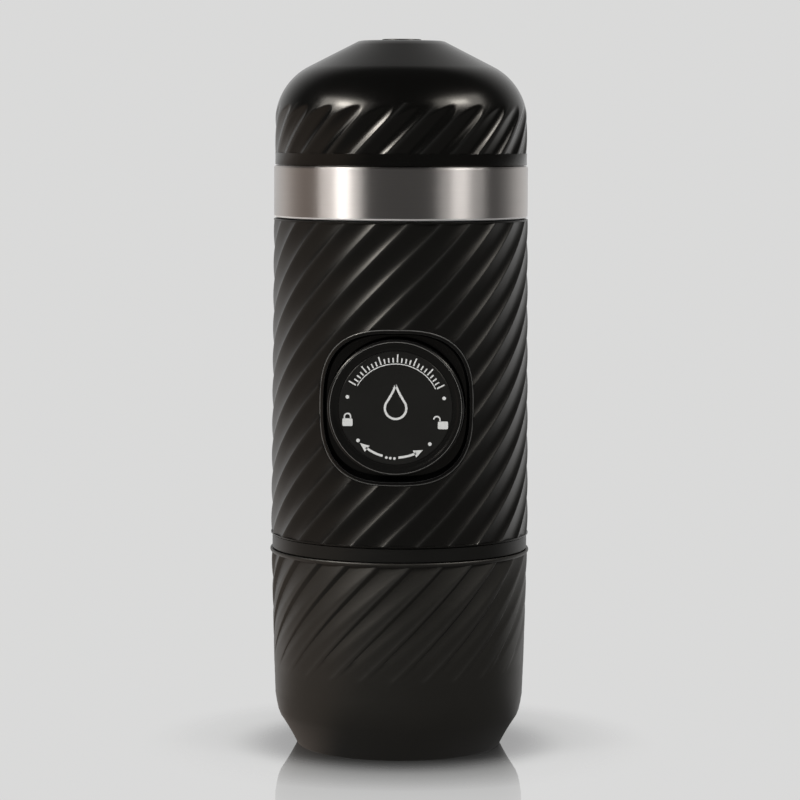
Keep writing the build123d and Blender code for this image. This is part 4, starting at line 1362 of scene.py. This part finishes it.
    def build(self, front: float, centre: float) -> None:
        """Draws all the marks and stands them on the face.

        Args:
            front: Place of the face along Y.
            centre: Height of the pump axis.
        """
        self.padlock(194.0, Lock.CLOSED)
        self.padlock(-17.0, Lock.OPEN)
        for turn in (167.0, 221.0, 12.0, -46.0):
            self.dot(self.at(turn, self.radius), radius=0.45)
        self.scale(start=150.0, end=26.0, count=25)
        self.arrow(start=227.5, end=300.5, gap_from=255.0, gap_to=273.5)
        self.drop(radius=2.9, line=0.55)
        thickened(self.mesh, (0.0, 0.0, self.thick))
        stand = moved_by(0.0, front, centre) @ turned_by(90.0, "X")
        bmesh.ops.transform(self.mesh, matrix=stand, verts=self.mesh.verts[:])
        mounted("knob_marks", self.mesh, Body.KNOB, "face_black", finish=MARK_INK)


@dataclass
class Knob:
    """The round knob: chamfered edge, bead, dished ring, marked disc, skirt with two lugs."""

    radius: float = 16.7
    # The rim's edges carry glints painted into the knob's colour
    rim: Rows = ((0.75, 0.0, 0.0), (0.58, 0.0, 1.0), (0.225, 0.1, 0.0), (0.06, 0.275, 0.0),
                 (0.0, 0.55, 0.88), (0.0, 0.75, 0.0))
    bead_radius: float = 15.5
    bead: Rows = ((0.12, 0.05, 0.0), (-0.1, 0.0, 0.0))
    dish_outer: float = 15.1
    dish_lip: Rows = ((0.35, 0.10, 0.0), (0.0, 0.0, 0.0))
    dish_drop: float = 0.34
    dish_foot: Rows = ((0.0, 0.0, 0.0), (-0.25, 0.02, 0.0))
    seat: float = 1.2
    face_radius: float = 13.9
    face_gap: float = 0.06
    face_drop: float = 0.2
    face_edge: float = 0.12
    face_thick: float = 0.98
    disc: float = 4.0
    bore: float = 14.6
    boss: float = 5.5
    boss_length: float = 8.3
    rod: float = 3.05
    skirt_row: float = 6.0
    lug_height: float = 1.3
    lug_length: float = 2.5
    lug_root: float = 0.4
    lug_angle: float = 16.0
    lug_steps: int = 8
    lock_turn: float = 45.0
    columns: int = 180

    def cap(self, front: float, back: float) -> BMesh:
        """The knob's cap, turned about Z with its height along the pump axis.

        Args:
            front: Place of its front.
            back: Place of its skirt's end.

        Returns:
            The mesh.
        """
        seat = front + self.seat
        groove = self.face_radius + self.face_gap
        disc = front + self.disc
        pen = Pen(0.0, seat)
        pen.line(groove, seat)
        pen.edge(groove, front + self.dish_drop, self.dish_foot)
        pen.edge(self.dish_outer, front + self.face_drop, self.dish_lip)
        pen.edge(self.bead_radius, front, self.bead)
        pen.edge(self.radius, front, self.rim)
        pen.line(self.radius, back, self.skirt_row)
        pen.line(self.bore, back)
        pen.line(self.bore, disc)
        pen.line(self.boss, disc)
        pen.line(self.boss, disc + self.boss_length)
        pen.line(self.rod, disc + self.boss_length)
        pen.line(self.rod, disc)
        pen.line(0.0, disc)
        return pen.turned(self.columns, closed=False)

    def lug(self, mesh: BMesh, turn: float, back: float) -> None:
        """Adds one bayonet lug to the skirt.

        Args:
            mesh: The cap's mesh.
            turn: Middle of the lug, in degrees.
            back: Place of the skirt's end.
        """
        low, high = (back - self.lug_length) * MM, back * MM
        inner, outer = (self.radius - self.lug_root) * MM, (self.radius + self.lug_height) * MM
        begin = turned_by(turn - self.lug_angle / 2)
        corners = ((inner, low), (outer, low), (outer, high), (inner, high))
        face = mesh.faces.new([mesh.verts.new(begin @ Vector((r, 0.0, z))) for r, z in corners])
        swept(mesh, [*face.verts, *face.edges, face], self.lug_angle, self.lug_steps)

    def build(self) -> None:
        """Builds the cap, the marked disc and its marks."""
        centre = KnobWell().centre
        space = Extent.of("knob_cap")
        front, back = space.low.y, space.high.y
        cap = self.cap(front, back)
        for side in (-90.0, 90.0):
            self.lug(cap, side - self.lock_turn / 2, back)
        mounted("knob_shell", on_pump_axis(outward(cap), centre), Body.KNOB, "knob_black", ["knob_cap"])

        face = front + self.face_drop
        pen = Pen(0.0, face)
        pen.line(self.face_radius - self.face_edge, face)
        pen.line(self.face_radius, face + self.face_edge)
        pen.line(self.face_radius, face + self.face_thick)
        pen.line(0.0, face + self.face_thick)
        disc = pen.turned(self.columns, closed=False)
        mounted("knob_disc", on_pump_axis(disc, centre), Body.KNOB, "face_black", ["knob_face"])
        KnobMarks().build(face, centre)


@dataclass
class OutletHead:
    """The dome with its skirt, the small tip and the steel band."""

    dome_radius: float = 31.72
    shoulder: float = 15.5
    shoulder_steps: int = 40
    slope: float = 27.0
    flat: float = 10.5
    flat_edge: Rows = ((0.5, 0.0, 0.0), (-0.4, -0.18, 0.0))
    rim_edge: Rows = ((0.0, 0.15, 0.0), (0.15, 0.0, 0.0))
    ledge: float = 3.0
    ledge_step: float = 0.05
    root: float = 31.15
    wall: float = 2.6
    skirt_wall: float = 2.6
    skirt_gap: float = 0.05
    outside_gap: float = 0.1
    step: float = 151.0
    row: float = 0.8
    slope_row: float = 2.0
    inner_row: float = 4.0
    band_gap: float = 0.2
    band_wall: float = 1.05
    # The lower bevel's marks paint a bright highlight line on the band
    band_low: Rows = ((0.45, 0.0, 1.0), (0.189, 0.135, 1.0), (0.0, 0.45, 0.75), (0.0, 0.57, 0.0))
    band_high: Rows = ((0.0, -0.57, 0.0), (0.0, -0.45, 0.0), (0.189, -0.135, 0.0), (0.45, 0.0, 0.0))
    band_columns: int = 256
    tip_radius: float = 5.0
    tip_gap: float = 0.06
    tip_edge: Rows = ((0.25, 0.0, 0.0), (0.075, -0.075, 0.0), (0.0, -0.25, 0.0))
    tip_bore: float = 1.0
    bore_edge: float = 0.15
    bore_drop: float = 0.1
    socket: float = 3.15
    socket_depth: float = 4.0
    tip_columns: int = 96

    def dome(self) -> None:
        """Turns the dome, presses its ridges in and replaces the CAD one."""
        space = Extent.of("dome_head")
        band = Extent.of("steel_band")
        skirt_z, top = space.low.z, space.high.z
        rim = band.high.z + self.band_gap
        skirt = band.radius - self.band_wall - self.skirt_gap
        slope = math.radians(self.slope)
        centre_r = self.dome_radius - self.shoulder
        touch_r = centre_r + self.shoulder * math.sin(slope)
        touch_z = top - (touch_r - self.flat) * math.tan(slope)
        centre_z = touch_z - self.shoulder * math.cos(slope)
        ledge = rim + self.ledge
        inner = self.dome_radius - 2 * self.wall
        crown = top - self.wall
        ridges = Ridges(start=2.9, low=ledge + self.ledge_step / 2, high=touch_z, root_low=self.root,
                        root_high=self.root, rise=0.83)
        hole = self.tip_radius + self.tip_gap
        pen = Pen(hole, top)
        pen.edge(self.flat, top, self.flat_edge)
        pen.line(touch_r, touch_z, self.slope_row)
        pen.arc(centre_r, centre_z, self.slope - 90.0, self.shoulder_steps)
        pen.line(self.dome_radius, ledge + self.ledge_step, self.row)
        pen.line(self.dome_radius, ledge)
        pen.edge(self.dome_radius, rim, self.rim_edge)
        pen.line(skirt, rim)
        pen.line(skirt, skirt_z, self.inner_row)
        pen.line(skirt - self.skirt_wall, skirt_z)
        pen.line(skirt - self.skirt_wall, self.step, self.inner_row)
        pen.line(inner, self.step)
        pen.line(inner, centre_z, self.inner_row)
        pen.line(touch_r - self.wall, touch_z - self.wall, self.inner_row)
        pen.line(self.flat - self.wall * math.tan(slope), crown, self.inner_row)
        pen.line(hole, crown)
        mesh = ridges.turned(pen, skirt + self.outside_gap)
        mounted("dome_shell", mesh, Body.HEAD, "dome_black", ["dome_head"])

    def band(self) -> None:
        """Turns the steel band with rounded bevels."""
        space = Extent.of("steel_band")
        bore = space.radius - self.band_wall
        pen = Pen(bore, space.low.z)
        pen.edge(space.radius, space.low.z, self.band_low)
        pen.edge(space.radius, space.high.z, self.band_high)
        pen.line(bore, space.high.z)
        mounted("band_sleeve", pen.turned(self.band_columns), Body.HEAD, "band_steel", ["steel_band"])

    def tip(self) -> None:
        """Turns the small round tip with its socket and bore."""
        space = Extent.of("nozzle_tip")
        low, high = space.low.z, space.high.z
        pen = Pen(self.tip_bore, high - self.bore_drop)
        pen.line(self.tip_bore + self.bore_edge, high)
        pen.edge(self.tip_radius, high, self.tip_edge)
        pen.line(self.tip_radius, low)
        pen.line(self.socket, low)
        pen.line(self.socket, low + self.socket_depth)
        pen.line(self.tip_bore, low + self.socket_depth)
        mounted("outlet_tip", pen.turned(self.tip_columns), Body.HEAD, "tip_black", ["nozzle_tip"])

    def build(self) -> None:
        """Builds the three pieces."""
        self.dome()
        self.band()
        self.tip()


@dataclass
class Spring:
    """An open round-wire spring; the return spring follows the piece it pushes."""

    node: str
    turns: int
    wire: float
    sides: int = 10
    steps: int = 28

    def coil(self, radius: float, length: float) -> BMesh:
        """The wound wire about Z, from height 0.

        Args:
            radius: Radius of the wire's centre line.
            length: Length of the spring.

        Returns:
            The closed mesh.
        """
        mesh = bmesh.new()
        start = moved_by(radius, 0.0, self.wire / 2) @ turned_by(90.0, "X")
        bmesh.ops.create_circle(mesh, cap_ends=True, segments=self.sides, radius=self.wire / 2 * MM,
                                matrix=start)
        steps = self.turns * self.steps
        climb = (length - self.wire) / steps * MM
        swept(mesh, mesh.verts[:] + mesh.edges[:] + mesh.faces[:], 360.0 * self.turns, steps, climb=climb)
        return outward(mesh)

    def over_ball(self) -> None:
        """Builds a valve's spring, which rides on the pump body.
        """
        space = Extent.of(self.node)
        middle = space.middle
        length = space.high.z - space.low.z
        mesh = self.coil(space.radius - self.wire / 2, length)
        bmesh.ops.translate(mesh, verts=mesh.verts[:], vec=Vector((middle.x, middle.y, space.low.z)) * MM)
        piece = mounted(f"{self.node}_coil", mesh, Body.PUMP_BODY, "spring_steel", [self.node])
        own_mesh(piece)

    def behind_knob(self) -> None:
        """Builds the return spring, which the knob pulls longer as it comes out."""
        space = Extent.of(self.node)
        front, back, height = space.low.y, space.high.y, space.middle.z
        mesh = self.coil(space.radius - self.wire / 2, back - front)
        bmesh.ops.translate(mesh, verts=mesh.verts[:], vec=(0.0, 0.0, front * MM))
        piece = mounted(f"{self.node}_coil", on_pump_axis(mesh, height), None, "spring_steel", [self.node])
        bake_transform(piece, Body.PUMP_BODY.value, Body.PISTON.value, start=(0.0, back * MM, height * MM),
                 end=(0.0, front * MM, height * MM))


@dataclass
class InnerParts:
    """The CAD pieces that show as they are, each in its own finish.

    Attributes:
        outer_seals: Seals near the outside, which are black.
    """

    outer_seals: tuple[str, ...] = ("cup_grip_ring", "tank_seal")

    def build(self) -> None:
        """Gives every shown CAD node its finish."""
        slots = {row["node"]: row["material_slot"] for row in frame["record"]["subparts"]}
        for name, node in frame["nodes"].items():
            if node.hide_render:
                continue
            node.data.materials.clear()
            finish = OUTER_RUBBER if name in self.outer_seals else FINISH_OF[slots[name]]
            node.data.materials.append(finish.material())
            log.info("%s: dressed as %s", name, slots[name])


@dataclass(frozen=True)
class Lamp:
    """A rectangular soft light that faces the maker.

    Attributes:
        name: Name of the light.
        azimuth: Its direction from the maker, in degrees from the camera's side towards the right.
        elevation: Its height above the horizon, in degrees.
        distance: Its distance in metres.
        size: Its width and height in metres.
        level: Brightness of its face, where 1 is white.
        TARGET: The point that it faces.
    """

    name: str
    azimuth: float
    elevation: float
    distance: float
    size: tuple[float, float]
    level: float

    TARGET = (0.0, 0.0, 0.10)

    def place(self, camera_azimuth: float, suffix: str = "", mirrored: bool = False) -> bpy.types.Object:
        """Adds the light.

        Args:
            camera_azimuth: Direction of the camera, in degrees.
            suffix: Ending of its name.
            mirrored: Whether glossy surfaces show it.

        Returns:
            The light.
        """
        data = bpy.data.lights.new(self.name + suffix, "AREA")
        data.shape = "RECTANGLE"
        data.size, data.size_y = self.size
        data.energy = self.level * math.pi * self.size[0] * self.size[1]
        data.normalize = True
        lamp = linked(self.name + suffix, data)
        lamp.visible_camera = False
        lamp.visible_glossy = mirrored
        turn = math.radians(self.azimuth + camera_azimuth)
        rise = math.radians(self.elevation)
        away = Vector((math.sin(turn) * math.cos(rise), -math.cos(turn) * math.cos(rise), math.sin(rise)))
        lamp.location = Vector(self.TARGET) + away * self.distance
        lamp.rotation_mode = "QUATERNION"
        lamp.rotation_quaternion = (-away).to_track_quat("-Z", "Y")
        return lamp


@dataclass
class Studio:
    """Camera, lights, floor and backdrop, in metres.

    Attributes:
        backdrop: Brightness of the backdrop.
        world_back: How the room turns pale with the share of the way backwards.
        floor_back: The same for what the floor shows.
        wall_side: How a warm wall begins at the left, with the share of the way to the right.
        wall_height: How it ends, with the share of the way up.
        near: How the floor's paint turns into backdrop with the distance from the maker.
        mirror: Share of it that mirrors the maker, and mirror_end how that ends.
        painted_contact_shadow: Brightness of the paint, and painted_mirror_shadow of the mirror, both darker
            near the foot: a painted contact shadow.
    """

    distance: float = 0.810
    height: float = 0.1586
    azimuth: float = 1.9
    pitch: float = 85.0
    roll: float = 0.27
    lens: float = 144.1
    sensor: float = 36.0
    clip: tuple[float, float] = (0.05, 20.0)
    backdrop: float = 0.70
    backdrop_tint: tuple[float, float, float] = (1.0, 1.0, 0.995)
    floor_radius: float = 3.0
    floor_tint: tuple[float, float, float] = (1.0, 1.0, 0.99)
    world_back: Fade = Fade(0.36, 1.0, 0.045, backdrop)
    floor_back: Fade = Fade(0.10, 0.75, 0.12, backdrop)
    wall_side: Fade = Fade(-0.50, -0.90, 0.0, 0.22)
    wall_height: Fade = Fade(0.30, 0.0, 0.0, 1.0)
    wall_tint: tuple[float, float, float] = (1.0, 0.79, 0.66)
    near: Fade = Fade(0.030, 0.068, 1.0, 0.0)
    mirror: Fade = Fade(0.026, 0.062, 0.82, 0.26, "LINEAR")
    mirror_end: Fade = Fade(0.06, 0.14, 1.0, 0.0, "LINEAR")
    mirror_roughness: float = 0.03
    painted_contact_shadow: Fade = Fade(0.0255, 0.044, 0.25, 0.80)
    painted_mirror_shadow: Fade = Fade(0.026, 0.047, 0.60, 1.0)
    softboxes: tuple[Lamp, ...] = (
        Lamp("left_softbox", -60.0, 30.0, 0.90, (0.66, 0.28), 5.2),
        Lamp("left_core", -57.0, 31.0, 0.88, (0.21, 0.10), 27.0),
        Lamp("right_softbox", 62.0, 35.0, 0.90, (0.72, 0.28), 3.0),
        Lamp("right_core", 60.0, 35.0, 0.88, (0.24, 0.09), 18.0),
    )
    fill: Lamp = Lamp("front_fill", -12.0, 18.0, 1.20, (0.90, 0.90), 2.9)

    def camera(self) -> None:
        """Places the camera at the photograph's viewing angle."""
        data = bpy.data.cameras.new("camera")
        data.lens = self.lens
        data.sensor_width = self.sensor
        data.clip_start, data.clip_end = self.clip
        eye = linked("camera", data)
        turn = math.radians(self.azimuth)
        place = Vector((self.distance * math.sin(turn), -self.distance * math.cos(turn), self.height))
        aim = turned_by(self.azimuth) @ turned_by(self.pitch, "X") @ turned_by(self.roll)
        eye.matrix_world = Matrix.Translation(place) @ aim
        bpy.context.scene.camera = eye

    def lights(self) -> None:
        """Adds the softboxes, each with its twin for the floor alone, which no gloss shows, and the fill."""
        for box in self.softboxes:
            for suffix, mirrored, state in (("", True, "EXCLUDE"), ("_on_floor", False, "INCLUDE")):
                made = box.place(self.azimuth, suffix, mirrored)
                group = bpy.data.collections.new(made.name)
                group.objects.link(bpy.data.objects["floor"])
                group.collection_objects[0].light_linking.link_state = state
                made.light_linking.receiver_collection = group
        self.fill.place(self.azimuth)

    def room(self, bench: Bench, way: Value, back: Fade) -> Value:
        """Colour of the room as surfaces see it: pale behind, warm and low at the left, else dim.

        Args:
            bench: The bench of the world or floor.
            way: Direction from the maker.
            back: How it turns pale with the share of the way backwards.

        Returns:
            The colour.
        """
        def level(axis: str, fade: Fade) -> Value:
            """Brightness that follows one part of the direction."""
            return bench.fade(bench.node("ShaderNodeSeparateXYZ", {0: way}, out=axis), fade)

        pale = level("Y", back)
        wall = level("X", self.wall_side) * level("Z", self.wall_height)
        channels = {place: pale + wall * tint for place, tint in enumerate(self.wall_tint)}
        return bench.node("ShaderNodeCombineColor", channels)

    def seen(self, bench: Bench, room: Value) -> Value:
        """The even backdrop for the camera, also through clear plastic, and the room for all else.

        Args:
            bench: The bench of the world or floor.
            room: Colour of the room.

        Returns:
            The colour.
        """
        path = bench.node("ShaderNodeLightPath", out="Is Camera Ray")
        through = bench.node("ShaderNodeLightPath", out="Is Transmission Ray")
        return bench.mix(path.highest(through), room, [self.backdrop * tint for tint in self.backdrop_tint])

    def world(self) -> None:
        """A pale backdrop behind and a dim room in front."""
        world = bpy.data.worlds.new("studio")
        world.use_nodes = True
        bench = Bench(world.node_tree)
        way = bench.node("ShaderNodeTexCoord", out="Generated")
        room = self.room(bench, way, self.world_back)
        light = bench.node("ShaderNodeBackground", {"Color": self.seen(bench, room)})
        bench.node_end("ShaderNodeOutputWorld", light)
        bpy.context.scene.world = world

    def floor_paint(self) -> bpy.types.Material:
        """A pale paint with a faint mirror close to the maker, which fades into the backdrop, and a painted
        contact shadow round the foot.

        Returns:
            The material.
        """
        made = bpy.data.materials.new("pale_floor")
        made.use_nodes = True
        bench = Bench(made.node_tree)
        place = bench.node("ShaderNodeTexCoord", out="Object")
        away = bench.node("ShaderNodeVectorMath", {0: place}, out="Value", operation="LENGTH")
        way = bench.node("ShaderNodeVectorMath", {0: place}, out="Vector", operation="NORMALIZE")
        path = bench.node("ShaderNodeLightPath", out="Is Camera Ray")
        # Painted contact shadow: the paint darkens towards the foot
        colour = bench.mix(bench.fade(away, self.painted_contact_shadow), BLACK, self.floor_tint)
        paint = bench.node("ShaderNodeBsdfDiffuse", {"Color": colour})
        # Painted shadow in the mirror: the reflection darkens towards the foot
        colour = bench.mix(bench.fade(away, self.painted_mirror_shadow), BLACK, WHITE)
        gloss = bench.node("ShaderNodeBsdfGlossy", {"Color": colour, "Roughness": self.mirror_roughness})
        room = self.room(bench, way, self.floor_back)
        glow = bench.node("ShaderNodeEmission", {"Color": self.seen(bench, room)})
        near = bench.fade(away, self.near) * path
        tile = bench.node("ShaderNodeMixShader", {0: near, 1: glow, 2: paint})
        mirror = bench.fade(away, self.mirror) * bench.fade(away, self.mirror_end) * path
        bench.node_end("ShaderNodeOutputMaterial",
                       bench.node("ShaderNodeMixShader", {0: mirror, 1: tile, 2: gloss}))
        return made

    def floor(self) -> None:
        """Lays the round floor."""
        mesh = bmesh.new()
        bmesh.ops.create_circle(mesh, cap_ends=True, segments=128, radius=self.floor_radius)
        floor = filled("floor", mesh)
        floor.data.materials.append(self.floor_paint())

    def build(self) -> None:
        """Builds the whole studio."""
        bpy.context.scene.view_settings.view_transform = "Standard"
        self.camera()
        self.world()
        self.floor()
        self.lights()


def main() -> None:
    """Builds the studio and every sub-assembly in order."""
    logging.basicConfig(level=logging.INFO, format="%(message)s")
    Studio().build()
    DrinkingCup().build()
    well = KnobWell()
    PumpBody().build(well)
    well.build()
    Knob().build()
    OutletHead().build()
    Spring("inlet_spring", turns=3, wire=0.4).over_ball()
    Spring("outlet_spring", turns=3, wire=0.4).over_ball()
    Spring("return_spring", turns=6, wire=1.1).behind_knob()
    InnerParts().build()


if __name__ == "__main__":
    main()
